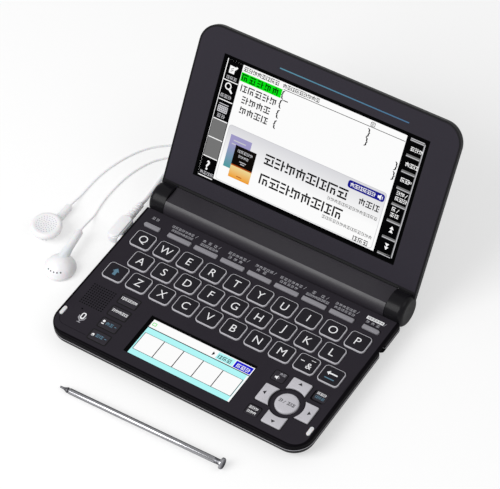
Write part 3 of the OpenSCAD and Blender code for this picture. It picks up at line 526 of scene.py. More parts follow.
def spun(name, profile, steps=48):
    """A turned piece round Z from a profile of (radius, height) points"""
    piece = lines_through(name, [[(radius, 0, height) for radius, height in profile]])
    pick(piece)
    bpy.ops.object.convert(target="MESH")
    mode("EDIT")
    bpy.ops.mesh.select_all(action="SELECT")
    bpy.ops.mesh.spin(steps=steps, angle=math.tau, center=(0, 0, 0), axis=(0, 0, 1))
    bpy.ops.mesh.select_all(action="SELECT")
    bpy.ops.mesh.remove_doubles(threshold=0.002 * MM)
    close_up()
    return piece


SHEET_T = 0.02
SHEET_STEP = 0.03
SINK = 0.005


def sheet_of(outlines, thick=SHEET_T):
    """Flat outlines of (x, y) points as one thin mesh, standing on z = 0"""
    piece = lines_through("sheet", [[(x, y, 0) for x, y in outline] for outline in outlines], True)
    piece.data.fill_mode = "BOTH"
    piece.data.extrude = thick * MM / 2
    pick(piece)
    bpy.ops.object.convert(target="MESH")
    return placed(piece, shift(0, 0, thick / 2))


def slab(name, outline, low, high):
    """A flat outline of (x, y) points raised to a solid"""
    pick()
    bpy.ops.mesh.primitive_circle_add(vertices=len(outline), fill_type="NGON")
    piece = bpy.context.object
    piece.name = piece.data.name = name
    for vertex, (x, y) in zip(piece.data.vertices, outline):
        vertex.co = (x * MM, y * MM, low * MM)
    mode("EDIT")
    bpy.ops.mesh.select_all(action="SELECT")
    bpy.ops.mesh.extrude_region_move(TRANSFORM_OT_translate={"value": (0, 0, (high - low) * MM)})
    close_up()
    return piece


def letter(name, text, height, weight=0):
    """One printed character, standing on z = 0 about its own middle"""
    capital_share = 0.729
    pick()
    bpy.ops.object.text_add()
    piece = bpy.context.object
    piece.name = name
    piece.data.body = text
    piece.data.size = height / capital_share * MM
    piece.data.extrude = SHEET_T / 2 * MM
    piece.data.offset = weight * MM
    bpy.ops.object.convert(target="MESH")
    xs = [v.co.x for v in piece.data.vertices]
    ys = [v.co.y for v in piece.data.vertices]
    middle = Vector((min(xs) + max(xs), min(ys) + max(ys), -SHEET_T * MM)) / 2
    return placed(piece, Matrix.Translation(-middle))


def printed(layers, base=0):
    """Thin sheets, each (level, finish, outlines), over a height"""
    return [painted(placed(sheet_of(outlines), shift(0, 0, base + level * SHEET_STEP)), finish)
            for level, finish, outlines in layers]


def layered(name, layers, body, slot, place):
    """Marks in thin layers as one piece that rides on a body"""
    piece = join(*printed(layers))
    piece.name = piece.data.name = name
    return settled(placed(piece, place), body, slot)


def inked(piece, mark, slot):
    """The mark joined to the piece in one of its finishes"""
    painted(mark, *piece.data.materials)
    for face in mark.data.polygons:
        face.material_index = slot
    return join(piece, mark)


# Outlines, as lists of (x, y) points in millimetres

def bar(x0, y0, x1, y1):
    return [(x0, y0), (x1, y0), (x1, y1), (x0, y1)]


def bars(*boxes):
    return [bar(*box) for box in boxes]


def arc(x, y, r, start, sweep, steps):
    """Points on an arc, its angles in degrees"""
    turns = [math.radians(start + sweep * i / steps) for i in range(steps + 1)]
    return [(x + r * math.cos(turn), y + r * math.sin(turn)) for turn in turns]


def disc(x, y, r, steps=20):
    return arc(x, y, r, 0, 360, steps)[:-1]


def round_box(x0, y0, x1, y1, r, steps=6, left_r=None):
    """Outline of a box with round corners, those on the left with a radius of their own if given"""
    s = r if left_r is None else left_r
    corners = ((x1 - r, y1 - r, r), (x0 + s, y1 - s, s), (x0 + s, y0 + s, s), (x1 - r, y0 + r, r))
    return [point for i, corner in enumerate(corners) for point in arc(*corner, 90 * i, 90, steps)]


def tile(x, y, half_w, half_d, r, steps=6, left_r=None):
    """A box with round corners about its middle"""
    return round_box(x - half_w, y - half_d, x + half_w, y + half_d, r, steps, left_r)


def around(x, y, half_w, half_d, r, gap):
    """A line as wide as the gap round a tile"""
    touch = 0.02
    return [tile(x, y, half_w + grow, half_d + grow, r + grow, 3) for grow in (gap, touch)]


def turned(outline, x, y, degrees):
    """An outline turned about the origin, then moved to (x, y)"""
    c, s = math.cos(math.radians(degrees)), math.sin(math.radians(degrees))
    return [(x + a * c - b * s, y + a * s + b * c) for a, b in outline]


def slash(x, y, length, half_w, degrees=62):
    """A slanting stroke from its lower end"""
    return turned(bar(0, -half_w, length, half_w), x, y, degrees)


# Made-up signs on a grid of five by five, each a list of bars that stand apart
SIGNS = [
    [(0, 4.1, 5, 5), (0, 2.2, 3, 3.1), (3.8, 1.3, 4.7, 3.6), (0, 0, 5, 0.9), (1.2, 0.9, 2.1, 2.2)],
    [(0, 0, 0.9, 5), (1.6, 3.9, 5, 4.8), (2.8, 0.9, 3.7, 3.9), (1.6, 0, 5, 0.9), (4.1, 1.9, 5, 2.8)],
    [(0, 3.2, 5, 4.1), (0.5, 0, 1.4, 3.2), (2.1, 0.9, 3, 3.2), (3.8, 0, 4.7, 3.2), (2.1, 4.1, 3, 5.2)],
    [(0, 4.1, 2.7, 5), (0, 2.1, 2.7, 3), (0, 0, 2.7, 0.9), (3.4, 0, 4.3, 5), (4.3, 2.4, 5.2, 3.3)],
    [(0, 0, 0.9, 5), (0.9, 4.1, 5, 5), (1.8, 2.1, 4.2, 3), (1.8, 0, 2.7, 2.1), (3.6, 0, 4.5, 2.1)],
    [(0, 4, 5, 4.9), (2, 0.9, 2.9, 4), (0, 0, 5, 0.9), (0, 1.9, 1.3, 2.8), (3.6, 1.9, 5, 2.8)],
    [(0.3, 2, 1.2, 5), (1.2, 3.4, 5, 4.3), (2.4, 0, 3.3, 3.4), (0, 0.2, 1.7, 1.1), (4, 0.9, 4.9, 3.4)]]
SIGN_INSET = 0.04


def sign_row(x, y, height, count, first=0, pitch=1.18):
    """A row of made-up signs from its lower left corner, a share of the height apart"""
    unit = height / 5
    found = []
    for i in range(count):
        left = x + i * pitch * height
        for x0, y0, x1, y1 in SIGNS[(first + i * 3) % len(SIGNS)]:
            found.append(bar(left + (x0 + SIGN_INSET) * unit, y + (y0 + SIGN_INSET) * unit,
                             left + (x1 - SIGN_INSET) * unit, y + (y1 - SIGN_INSET) * unit))
    return found


def signs(*rows):
    return [outline for row in rows for outline in sign_row(*row)]


# Letter keys

KEY_W = 11.5
KEY_D = 10.2
KEY_R = 2
KEY_PITCH = 13.9
FLANGE_Z = 7.7
FLANGE_TOP = 8.4
FLANGE_W = 0.7
BODY_Z = 8.35
KEY_BODY_TOP = 10.4
KEY_TOP = 10.6
STEM_Z = 6.2
STEM_R = 1.6
ROW_Y = (15.7, 3.8, -8.1)
KEYS = [(sign, i, 0) for i, sign in enumerate("QWERTYUIOP")]
KEYS += [(sign, i + 0.5, 1) for i, sign in enumerate("ASDFGHJKL")]
KEYS += [("shift", 0, 2)] + [(sign, i + 1, 2) for i, sign in enumerate("ZXCVBNM")]
KEYS += [("symbol", 8, 2), ("delete", 9, 2)]
# Marks of the three wide-use keys, white and then blue
KEY_MARKS = {
    "shift": ([], [[(-1.9, 0.2), (0, 2.3), (1.9, 0.2), (0.9, 0.2), (0.9, -2.1), (-0.9, -2.1), (-0.9, 0.2)]]),
    "symbol": (bars((-3.6, 0.5, -1.6, 0.95), (1.2, 2.6, 2.2, 2.9), (2.4, 2.6, 3.6, 2.9)), []),
    "delete": ([[(-3, 0.9), (-1.4, 2.2), (-1.4, 1.3), (2.8, 1.3), (2.8, 0.5), (-1.4, 0.5), (-1.4, -0.4)]],
               bars((-2.6, -2.5, 2.6, -1.9)))}
WHITE_SLOT = 2
BLUE_SLOT = 3


def key_stem(x=0, y=0, foot=STEM_Z, chamfer=0.2, top=7.8):
    profile = [(0, foot), (STEM_R - chamfer, foot), (STEM_R, foot + chamfer), (STEM_R, top)]
    return placed(spun("stem", profile, 16), shift(x, y, 0))


def key_blank():
    """One key about the origin: light body with a flange, a stem, and a raised dark face"""
    half_w, half_d = KEY_W / 2, KEY_D / 2
    body = slab("key_blank", bar(-half_w, -half_d, half_w, half_d), FLANGE_Z, KEY_BODY_TOP)
    rounded(body, upright, KEY_R, 5)
    eased(body, KEY_BODY_TOP, 0.16)
    choose(body, "FACE", lambda middle, normal: normal.z > 0.99 and middle.z > KEY_BODY_TOP - 0.01)
    bpy.ops.mesh.inset(thickness=0.29 * MM)
    bpy.ops.mesh.extrude_region_move(TRANSFORM_OT_translate={"value": (0, 0, (KEY_TOP - KEY_BODY_TOP) * MM)})
    mode("OBJECT")
    eased(body, KEY_TOP, 0.1)
    half_w, half_d = half_w + FLANGE_W, half_d + FLANGE_W
    flange = slab("flange", bar(-half_w, -half_d, half_w, half_d), FLANGE_Z, FLANGE_TOP)
    rounded(flange, upright, KEY_R, 4)
    rounded(flange, lambda a, b: abs(a.z - b.z) < 0.01, 0.08, 1)
    join(body, flange, key_stem(foot=6.15, chamfer=0.3))
    painted(body, RIM, DARK_CAP, LEGEND, BLUE_LEGEND)
    for face in body.data.polygons:
        face.material_index = 1 if face.center.z > (KEY_BODY_TOP + 0.02) * MM else 0
    return smooth(body)


def make_keys():
    blank = key_blank()
    face_z = KEY_TOP - SINK
    for sign, column, row in KEYS:
        name = sign.lower()
        mesh = blank.data.copy()
        mesh.name = "keycap_" + name
        piece = link(mesh.name, mesh)
        if len(sign) == 1:
            inked(piece, placed(letter("legend", sign, 4.6, -0.03), shift(0, 0, face_z)), WHITE_SLOT)
        for slot, outlines in zip((WHITE_SLOT, BLUE_SLOT), KEY_MARKS.get(sign, ((), ()))):
            if outlines:
                inked(piece, placed(sheet_of(outlines), shift(0, 0, face_z)), slot)
        if sign == "symbol":
            inked(piece, placed(letter("legend", "&", 3.6), shift(1.9, -0.9, face_z)), WHITE_SLOT)
        placed(piece, shift((column - 4.5) * KEY_PITCH, ROW_Y[row], 0))
        settled(piece, f"key_{name}_body", "key_charcoal", f"key_{name}")
    bpy.data.objects.remove(blank)


# Main display: icon column, page and menu column, x across and s along the lid

LID_PLACE = shift(0, HINGE_Y, HINGE_Z) @ turn_on("X", LID_LEAN)
ICONS = (-56.2, -47.5)
ICON_LINES = (81.5, 70.9, 60.6, 50.2, 40.2, 29.9, 19.5)
ICON_EDGE = 0.45
ICON_LINE = 0.24
PAGE = (-47.1, 20.5, 46.2, 81.6)
CARD = (-46.1, 20.9, 44.9, 50.5)
MENU = (48.3, 55.7)
MENU_BARS = (80.6, 72.5, 64.2, 55.5, 47.0, 38.3, 29.7, 21.1)


def icon_marks():
    """White lines and pictograms of the left column"""
    x0, x1 = ICONS
    marks = bars(*[(x0 + ICON_EDGE, s - ICON_LINE, x1, s + ICON_LINE) for s in ICON_LINES])
    marks.append(bar(x0, ICON_LINES[-1] - ICON_LINE, x0 + ICON_EDGE, ICON_LINES[0] + ICON_LINE))
    page = [(-54, 74.9), (-50.9, 74.9), (-50.9, 76.8), (-49.4, 78.5), (-50, 79.1), (-50.8, 78.6), (-54, 78.8)]
    handle = slash(-51, 67, 2.4, 0.4, -48)
    pen = [slash(-53.2, s, 1.8, 0.16, 30) for s in (75.8, 76.9)]
    ring = [disc(-52.2, 68.2, r) for r in (1.85, 1.25)]
    return marks + [page, handle] + pen + ring


def icon_signs():
    """Paler small signs and the key pictogram of the left column"""
    board = [bar(-54.6, 58.3, -49.2, 58.75), round_box(-54.8, 54.2, -49.2, 57.7, 0.4)]
    spots = [(-54.3 + i * 1.02, 54.75 + j * 0.98) for i in range(5) for j in range(3)]
    board += [bar(x, s, x + 0.55, s + 0.45) for x, s in spots]
    return board + signs((-54.4, 71.9, 1.6, 3, 1, 1.25), (-55.1, 61.9, 1.8, 3, 4),
                         (-54.1, 51.4, 1.9, 2, 0, 1.3), (-55.2, 20.5, 1.7, 4, 2))


def brace(x, s, side):
    """One bow of a curly bracket, opening to a side"""
    bow = [(1, 2.1), (0.3, 1.5), (0.25, 0.3), (-0.3, 0), (0.25, -0.3), (0.3, -1.5), (1, -2.1),
           (0.5, -2.3), (-0.4, -1.7), (-0.4, -0.4), (-0.9, 0), (-0.4, 0.4), (-0.4, 1.7), (0.5, 2.3)]
    return [(x + side * a, s + b) for a, b in bow]


def arrow_pair(x, s, way):
    """Two arrow heads, one over the other"""
    head = [(-1.15, -0.75), (0, 0.9), (1.15, -0.75)]
    return [[(x + a, s + way * (b + lift)) for a, b in head] for lift in (0.95, -0.75)]


def menu_marks():
    """Signs and arrows of the right column, with a small speaker beside the third sign row"""
    first, second, third, fourth, fifth = MENU_BARS[:5]
    speaker = [[(54.4, third - 4.8), (53.9, third - 4.4), (53.9, third - 3.8), (54.4, third - 3.4)],
               bar(54.8, third - 4.6, 55.1, third - 3.6)]
    x = 49.2
    rows = signs((49.6, first - 5.3, 2, 3, 0, 1.15), (x, second - 5.4, 2.2, 3, 2, 1.12),
                 (x, third - 5.3, 2.2, 2, 4, 1.12), (x, fourth - 3.5, 2, 2, 3, 1.12),
                 (x, fourth - 6.4, 2, 3, 4, 1.12), (x, fifth - 3.5, 2, 1, 4, 1.12),
                 (x, fifth - 6.4, 2, 2, 5, 1.25))
    slashes = [slash(54, fourth - 3.6, 2.2, 0.14), slash(52, fifth - 3.6, 2.2, 0.14)]
    return rows + speaker + slashes + arrow_pair(52.1, 34.3, 1) + arrow_pair(52.1, 25.5, -1)


def make_main_picture():
    x0, x1 = ICONS
    x2, x3 = MENU
    grey_icons = [(x0 + ICON_EDGE, ICON_LINES[i + 1] + 0.25, x1, ICON_LINES[i] - 0.25) for i in (3, 4)]
    page_signs = signs((-46.2, 78.7, 2.3, 8, 0, 1.12), (-23.6, 78.9, 2.1, 9, 2, 1.12),
                       (-45.4, 68.4, 3.6, 5, 1), (-43.2, 63, 3.6, 4, 3), (-43, 57.7, 3.6, 4, 6),
                       (27, 79.2, 1.1, 1, 5))
    rule = [(-22.8, 77.95), (46, 78.2), (46, 78.5), (-22.8, 78.25)]
    tab = [round_box(26.4, 78.6, 28.8, 80.9, 0.5), round_box(26.65, 78.85, 28.55, 80.65, 0.35)]
    braces = [brace(x, s, side) for x, s, side in (
        (-22.6, 75.3, 1), (-22.6, 70.5, 1), (-22.6, 65.2, 1), (-22.6, 59.7, 1),
        (26.6, 75, -1), (26.6, 70.4, -1), (45, 65, -1), (45, 60, -1))]
    card_face = [edge + inset for edge, inset in zip(CARD, (0.25, 0.25, -0.25, -0.25))]
    speaker = [[(40.4, 46.7), (41.2, 46.7), (42.3, 45.9), (42.3, 48.8), (41.2, 48), (40.4, 48)],
               bar(42.8, 46.6, 43.15, 48.1)]
    top, low = MENU_BARS[0] + 0.75, MENU_BARS[-1] - 0.75
    outer = x3 + 0.85
    edge = [(x3, low), (x3 + 0.3, low), (outer, low + 0.5), (outer, top - 0.8), (x3 + 0.2, top), (x3, top)]
    layers = [
        (0, LIT_BLACK, bars((-57.6, 18.9, 57.6, 82.7))),
        (1, LIT_WHITE, bars(PAGE) + icon_marks()),
        (1, LIT_PALE, icon_signs()),
        (1, LIT_GREY, bars(*grey_icons)),
        (2, LIT_GREEN, bars((-46.9, 73.3, -23.3, 77.9))),
        (2, LIT_BLACK, page_signs + [rule] + braces + bars((-21.4, 72.6, -18.8, 73.1)) + tab),
        (3, LIT_BLACK, signs((-46.2, 73.9, 3.4, 5, 4, 1.3))),
        (2, LIT_PALE, [round_box(*CARD, 1.6)]),
        (3, LIT_CARD, [round_box(*card_face, 1.4)]),
        (4, LIT_BLACK, signs((-22.6, 38.6, 5.4, 8, 0, 1.12), (-22.6, 28.1, 5.4, 8, 4, 1.12),
                             (31.6, 39.6, 3.4, 3, 2), (33.9, 21.3, 2.5, 3, 1, 1.2))),
        (4, LIT_GREY, signs((15.2, 35.3, 1.7, 14, 3, 1.2), (15.2, 25.4, 1.7, 14, 5, 1.2))),
        (4, LIT_BLUE, [round_box(23.6, 45.4, 44.2, 49.3, 1.3)]),
        (5, LIT_WHITE, signs((25, 46.3, 2.1, 6, 2, 1.14)) + speaker),
        (4, BOOK_BACK, bars((-43.7, 29, -31.4, 46))),
        (5, LIT_PALE, bars((-41.5, 43.2, -34.4, 43.8), (-42.2, 41.4, -39.9, 41.9))),
        (6, BOOK_DARK, bars((-39.6, 31.8, -27.4, 41.8))),
        (6, BOOK_RED, bars((-39.6, 31.2, -27.4, 31.8))),
        (6, BOOK_AMBER, bars((-39.6, 25, -27.4, 31.2))),
        (7, LIT_PALE, signs((-37.8, 38.6, 1.5, 5, 1), (-36.8, 36.2, 1.3, 4, 3))
         + bars((-35.4, 34.1, -31.6, 34.5), (-34.7, 33.1, -32.3, 33.5))),
        (7, BOOK_RED, bars((-35, 26.4, -32, 26.8))),
        (1, LIT_GREY, bars(*[(x2, s - 0.7, x3, s + 0.7) for s in MENU_BARS]) + [edge]),
        (2, LIT_PALE, bars(*[(x2, s - 0.5, x3, s - 0.15) for s in MENU_BARS],
                           (x3 + 0.35, low + 0.6, x3 + 0.75, top - 0.7), (x2, top - 0.35, x3, top))),
        (2, LIT_WHITE, menu_marks())]
    layered("main_picture", layers, "lid", "display_main", LID_PLACE @ shift(0, 0, MAIN_GLASS_N + 0.01))
    question = painted(letter("help_mark", "?", 4.9, 0.16), LIT_WHITE)
    placed(question, LID_PLACE @ shift(-51.9, 25.6, MAIN_GLASS_N + 0.06))
    settled(question, "lid", "display_main")


def make_lid_trim():
    """Blue accent line, a painted shadow line along the chin, and a dark block that closes the gap at the
    barrel, shade put in as a solid
    """
    accent = [(-27.5, 87.3), (45.3, 87.5), (45.3, 88.1), (-27.5, 87.9)]
    face = LID_PLACE @ shift(0, 0, LID_FACE + SINK)
    layered("accent_line", [(0, ACCENT, [accent])], "lid", "deck_charcoal", face)
    # Painted shadow: a black line on the lid's chin, where the gap to the barrel lies in shade
    layered("chin_shadow", [(0, GAP_SHADE, bars((-64, 9, 64, 9.65)))], "lid", "rubber_black", face)
    # A dark block fills the gap between barrel and lid: shade put in as a solid, where the gap lies in shade
    section = [(8.47, -1.5), (9.3, -1.5), (9.3, -6.2), (8.62, -6.2), (8.62, -3.45), (7.88, -3.45),
               (8.22, -2.53)]
    gap_block = slab("hinge_gap_shade", section, -BARREL_HALF, BARREL_HALF)
    lengthwise = Matrix(((0, 0, 1, 0), (1, 0, 0, 0), (0, 1, 0, 0), (0, 0, 0, 1)))
    painted(placed(gap_block, LID_PLACE @ lengthwise), FEET_RUBBER)
    settled(gap_block, "lid", "rubber_black")


# Touch screen

PAD = (-29.6, -45.4, 28.8, -22.4)
TOUCH_GLASS_Z = 9.5


def on_pad(across, down):
    """A place on the lit part of the touch screen, as shares from its upper left corner"""
    x0, y0, x1, y1 = PAD
    return x0 + across * (x1 - x0), y1 - down * (y1 - y0)


def pad_bars(*boxes):
    """Bars given by shares: left, upper, right and lower edge"""
    found = []
    for a0, d0, a1, d1 in boxes:
        (x0, y1), (x1, y0) = on_pad(a0, d0), on_pad(a1, d1)
        found.append(bar(x0, y0, x1, y1))
    return found


def make_touch_picture():
    box_gap, box_pitch = 0.004, 0.193
    box_edges = [0.014 + box_pitch * i for i in range(6)]
    boxes = [(a0 + box_gap, 0.385, a1 - box_gap, 0.855) for a0, a1 in zip(box_edges, box_edges[1:])]
    icon_x, icon_y = on_pad(0.033, 0.11)
    icon = bars((icon_x - 1.1, icon_y - 0.9, icon_x + 1.1, icon_y - 0.6),
                (icon_x - 1.1, icon_y + 0.6, icon_x + 1.1, icon_y + 0.9),
                (icon_x - 1.1, icon_y - 0.6, icon_x - 0.8, icon_y + 0.6),
                (icon_x + 0.8, icon_y - 0.6, icon_x + 1.1, icon_y + 0.6))
    tab_x, tab_y = on_pad(0.705, 0.17)
    light_x, light_y = on_pad(0.865, 0.17)
    triangle = [on_pad(0.612, 0.17), on_pad(0.612, 0.06), on_pad(0.634, 0.115)]
    layers = [
        (0, LIT_WHITE, pad_bars((0, 0, 1, 0.22))),
        (0, LIT_CYAN, pad_bars((0, 0.22, 1, 1))),
        (1, LIT_BLACK, pad_bars((0, 0.215, 1, 0.235), (0.012, 0.375, 0.981, 0.865))),
        (1, LIT_WHITE, pad_bars((0.984, 0.24, 1, 1))),
        (1, LIT_GREEN, icon),
        (1, LIT_CYAN, pad_bars((0.655, 0.02, 0.82, 0.2))),
        (1, LIT_BLACK, [triangle]),
        (1, LIT_TAB, pad_bars((0.828, 0.02, 0.992, 0.2))),
        (2, LIT_BLACK, signs((tab_x - 2.1, tab_y, 2.2, 3, 1))),
        (2, LIT_WHITE, signs((light_x - 0.9, light_y, 2.2, 3, 4)) + pad_bars(*boxes))]
    layered("touch_picture", layers, "base", "display_touch", shift(0, 0, TOUCH_GLASS_Z + 0.01))


# Bars, flat keys and arrow pad

PAD_X = 53
PAD_Y = -32.4
BAR_X = [-63.9, -47.4, -31.6, -15.8, 0, 15.8, 31.6, 47.4, 63.9]
BAR_Y = 25.35
BAR_TOP = 10.5
LOW_TOP = 9.9
SIDE_KEYS = [(-46.3, -45.25 + 8.45 * i) for i in (3, 2, 1, 0)]
SIDE_HALF = (5.05, 2.8)
CORNER = 11.6
CORNER_KEYS = [(PAD_X + a * CORNER, PAD_Y + b * CORNER) for a, b in ((-1, 1), (1, 1), (-1, -1))]
CORNER_HALF = (3.45, 3)


def make_bars():
    strip = slab("function_bars", round_box(-68.5, 23.7, 68.5, 27.3, 0.6, 2), FLANGE_Z, FLANGE_TOP)
    painted(strip, BARS)
    for x in BAR_X:
        half = 4.6 if x in (BAR_X[0], BAR_X[-1]) else 6.7
        left_r, right_r = (1.1 if x == end else 0.3 for end in (BAR_X[0], BAR_X[-1]))
        outline = tile(x, BAR_Y, half, 1.2, right_r, 3, left_r)
        join(strip, eased(slab("bar", outline, BODY_Z, BAR_TOP), BAR_TOP, 0.2), key_stem(x, 25.5))
    settled(smooth(strip), "function_keys_body", "bar_grey", "function_keys")


def make_side_keys():
    strip = slab("side_key_group", round_box(-51.7, -48.4, -40.9, -16.7, 0.6, 2), FLANGE_Z, FLANGE_TOP)
    painted(strip, FLAT_CAP)
    for x, y in SIDE_KEYS:
        key = slab("side_key", tile(x, y, *SIDE_HALF, 0.35, 2), BODY_Z, LOW_TOP)
        rounded(key, lambda a, b: level_at(LOW_TOP)(a, b) and max(a.y, b.y) < y - SIDE_HALF[1] + 0.1, 0.75, 1)
        join(strip, key, key_stem(x, y))
    white = signs((-50.9, -20.2, 1.7, 5, 1, 1.07), (-50.7, -28.6, 1.7, 5, 3, 1.07))
    blue = []
    for (x, y), first, head in ((SIDE_KEYS[2], 2, 1), (SIDE_KEYS[3], 5, -1)):
        white += [disc(x - 3.6, y + 0.5 + 0.5 * head, 0.75, 12), bar(x - 4.3, y - 0.9, x - 2.9, y - 0.3)]
        blue += sign_row(x - 2.1, y - 0.6, 1.9, 2, first) + bars((x + 2.9, y + 0.1, x + 4, y + 0.5))
    join(strip, *printed(((0, LEGEND, white), (0, BLUE_LEGEND, blue)), LOW_TOP - SINK))
    settled(strip, "side_keys_body", "flat_key_charcoal", "side_keys")


def arrow_outline(grow=0):
    """Outline of the right-hand arrow key about the pad's middle, grown all round"""
    half, inner, outer = 5.25 + grow, 8.95 - grow, 14.75 + grow
    reach = math.degrees(math.asin(half / inner))
    right = [p for p in round_box(0, -half, outer, half, 0.6, 3) if p[0] > outer / 2]
    upper, lower = [p for p in right if p[1] > 0], [p for p in right if p[1] < 0]
    return arc(0, 0, inner, reach, -2 * reach, 12) + lower + upper


def make_arrow_keys():
    ring = [(7.3, FLANGE_Z), (10.5, FLANGE_Z), (10.5, FLANGE_TOP), (7.3, FLANGE_TOP), (7.3, FLANGE_Z)]
    pad = painted(spun("arrow_pad", ring, 64), RIM)
    for i in range(4):
        key = painted(eased(slab("arrow_key", arrow_outline(), 8.3, KEY_TOP), KEY_TOP, 0.35, 3), RIM)
        mark = [(13.35, 0), (11.8, 1.15), (11.8, -1.15)]
        join(key, key_stem(11.6, top=FLANGE_TOP), *printed([(0, DARK_LEGEND, [mark])], KEY_TOP - SINK))
        join(pad, placed(key, turn_on("Z", 90 * i)))
    placed(pad, shift(PAD_X, PAD_Y, 0))
    settled(smooth(pad), "arrow_keys_body", "key_silver", "arrow_keys")


def make_enter_key():
    key = painted(spun("enter_button", [
        (0, STEM_Z), (1.5, STEM_Z), (1.5, FLANGE_Z), (6.6, FLANGE_Z), (6.6, FLANGE_TOP), (5.9, FLANGE_TOP),
        (5.9, 9.8), (5.8, 10.05), (5.5, 10.3), (5.1, 10.44), (4, 10.53), (2, 10.58), (0, KEY_TOP)], 64), RIM)
    marks = signs((-4.2, -0.9, 1.9, 1, 3), (0.3, -0.9, 1.9, 2, 5, 1.1)) + [slash(-1.7, -1, 2, 0.12)]
    join(smooth(key), *printed([(0, DARK_LEGEND, marks)], 10.575))
    settled(placed(key, shift(PAD_X, PAD_Y, 0)), "enter_key_body", "key_silver", "enter_key")


def make_corner_keys():
    parts = []
    for x, y in CORNER_KEYS:
        parts.append(eased(slab("corner_key", tile(x, y, *CORNER_HALF, 1), BODY_Z, LOW_TOP), LOW_TOP, 0.35))
        parts.append(slab("flange", tile(x, y, 4.1, 3.6, 1), FLANGE_Z, FLANGE_TOP))
        parts.append(key_stem(x, y))
    (x, y), (x1, y1), (x2, y2) = CORNER_KEYS
    speaker = [(x - 1.9, y - 1.4), (x - 1.2, y - 1.4), (x - 0.3, y - 2.1), (x - 0.3, y + 0.3),
               (x - 1.2, y - 0.4), (x - 1.9, y - 0.4)]
    white = [speaker] + signs((x1 - 2.6, y1 + 0.5, 1.5, 3, 4, 1.1), (x2 - 2.8, y2 + 0.7, 1.5, 3, 0, 1.1),
                              (x2 - 2.5, y2 - 1.8, 1.5, 3, 3, 1.1))
    grey = signs((x - 0.6, y + 0.9, 1.5, 2, 2)) + bars((x + 0.2, y - 1.4, x + 0.5, y - 0.4))
    blue = signs((x1 - 2.4, y1 - 1.8, 1.5, 3, 1, 1.1))
    group = painted(join(*parts), FLAT_CAP)
    group.name = group.data.name = "corner_key_group"
    layers = ((0, LEGEND, white), (0, GREY_LEGEND, grey), (0, BLUE_LEGEND, blue))
    join(smooth(group), *printed(layers, LOW_TOP - SINK))
    settled(group, "corner_keys_body", "flat_key_charcoal", "corner_keys")


def make_bumpers():
    low, top = 9.3, 10.45
    outlines = [tile(x, -40.45, 0.95, 2.6, 0.94) for x in (-71, 71)]
    pads = [eased(slab("bumper", outline, low, top), top, 0.35, 3) for outline in outlines]
    pair = painted(join(*pads), BUMPER)
    pair.name = pair.data.name = "lid_bumpers"
    settled(smooth(pair), "base", "bumper_white", "bumpers")


DECK_SIGNS = (
    (-67.1, 29.9, 1.6, 2, 0, 1.5), (-55.2, 30.4, 1.5, 7, 1, 1.25), (-54.1, 28.2, 1.4, 8, 4, 1.12),
    (-36.8, 30.2, 1.6, 3, 2, 2.1), (-36.8, 27.9, 1.5, 6, 5, 1.15), (-21.6, 30.4, 1.6, 5, 0, 1.32),
    (-20.2, 28, 1.7, 3, 3, 1.8), (-5.7, 30.4, 1.6, 5, 6, 1.32), (-3.8, 28.3, 1.7, 2, 2, 2.2),
    (8.9, 30.2, 1.6, 6, 4, 1.36), (10.1, 28, 1.5, 5, 1, 1.4), (27.4, 30.2, 1.7, 2, 5, 3),
    (25.1, 28, 1.5, 8, 0, 1.08), (40.8, 30.2, 1.5, 6, 3, 1.3), (41.3, 28, 1.5, 6, 2, 1.32),
    (59.2, 28.1, 1.6, 3, 6, 1.8))
DECK_SLASHES = ((-41.2, 30.4), (-27.4, 30.2), (-10.6, 30.4), (5.1, 30.4), (22.5, 30.2), (35.4, 30.2),
                (52.8, 30.2), (68, 30.2))
MIC_STAND = [
    (-62.7, -38.6), (-62.2, -38.6), (-62, -40.2), (-60.6, -41.2), (-59.2, -40.2), (-59, -38.6),
    (-58.5, -38.6), (-58.7, -40.4), (-60.35, -41.7), (-60.35, -42.4), (-59.6, -42.4), (-59.6, -42.8),
    (-61.6, -42.8), (-61.6, -42.4), (-60.85, -42.4), (-60.85, -41.7), (-62.5, -40.4)]


def make_deck_print():
    """Signs over the bars, the microphone sign, and painted shade: black lines in the gaps round the flat
    keys and arrows, round the speaker holes and along the right edge
    """
    grey = signs(*DECK_SIGNS) + [slash(x, y, 2, 0.1, 66) for x, y in DECK_SLASHES] + [MIC_STAND]
    capsule = [round_box(-61.8, -40.6, -59.4, -36.4, 1.2), round_box(-61.2, -39.7, -60, -37, 0.6)]
    plate = round_box(58.2, 30.3, 67.6, 32.2, 0.15, 1)
    # Painted shade: black lines round the flat keys, the arrows and the speaker holes, and along the right
    # edge, where the gaps fall in shade
    gap_shades = [[(72.4, 5.8), (72.6, 5.8), (72.1, -13.1), (71.9, -13.1)]]
    for x, y in SIDE_KEYS:
        gap_shades += around(x, y, *SIDE_HALF, 0.35, 0.62)
    for x, y in CORNER_KEYS:
        gap_shades += around(x, y, *CORNER_HALF, 1, 0.18)
    for i in range(4):
        gap_shades += [turned(arrow_outline(grow), PAD_X, PAD_Y, 90 * i) for grow in (0.45, 0.05)]
    steps = [(i - 4.5) * GRILLE_PITCH for i in range(10)]
    gap_shades += [disc(SPEAKER_X + a, SPEAKER_Y + b, r, 12) for a in steps for b in steps for r in (0.43, 0.345)]
    layers = [(0, GAP_SHADE, gap_shades), (0, GREY_LEGEND, grey), (1, LEGEND, [plate] + capsule),
              (2, DARK_LEGEND, signs((58.9, 30.75, 1.1, 6, 1, 1.3)))]
    layered("deck_print", layers, "base", "deck_charcoal", shift(0, 0, DECK_Z + SINK))


# Stylus

TUBE_R = 1.5
TUBE_START = 5.6
DISC_R = 2.9
DISC_T = 1.2
STYLUS_L = 93


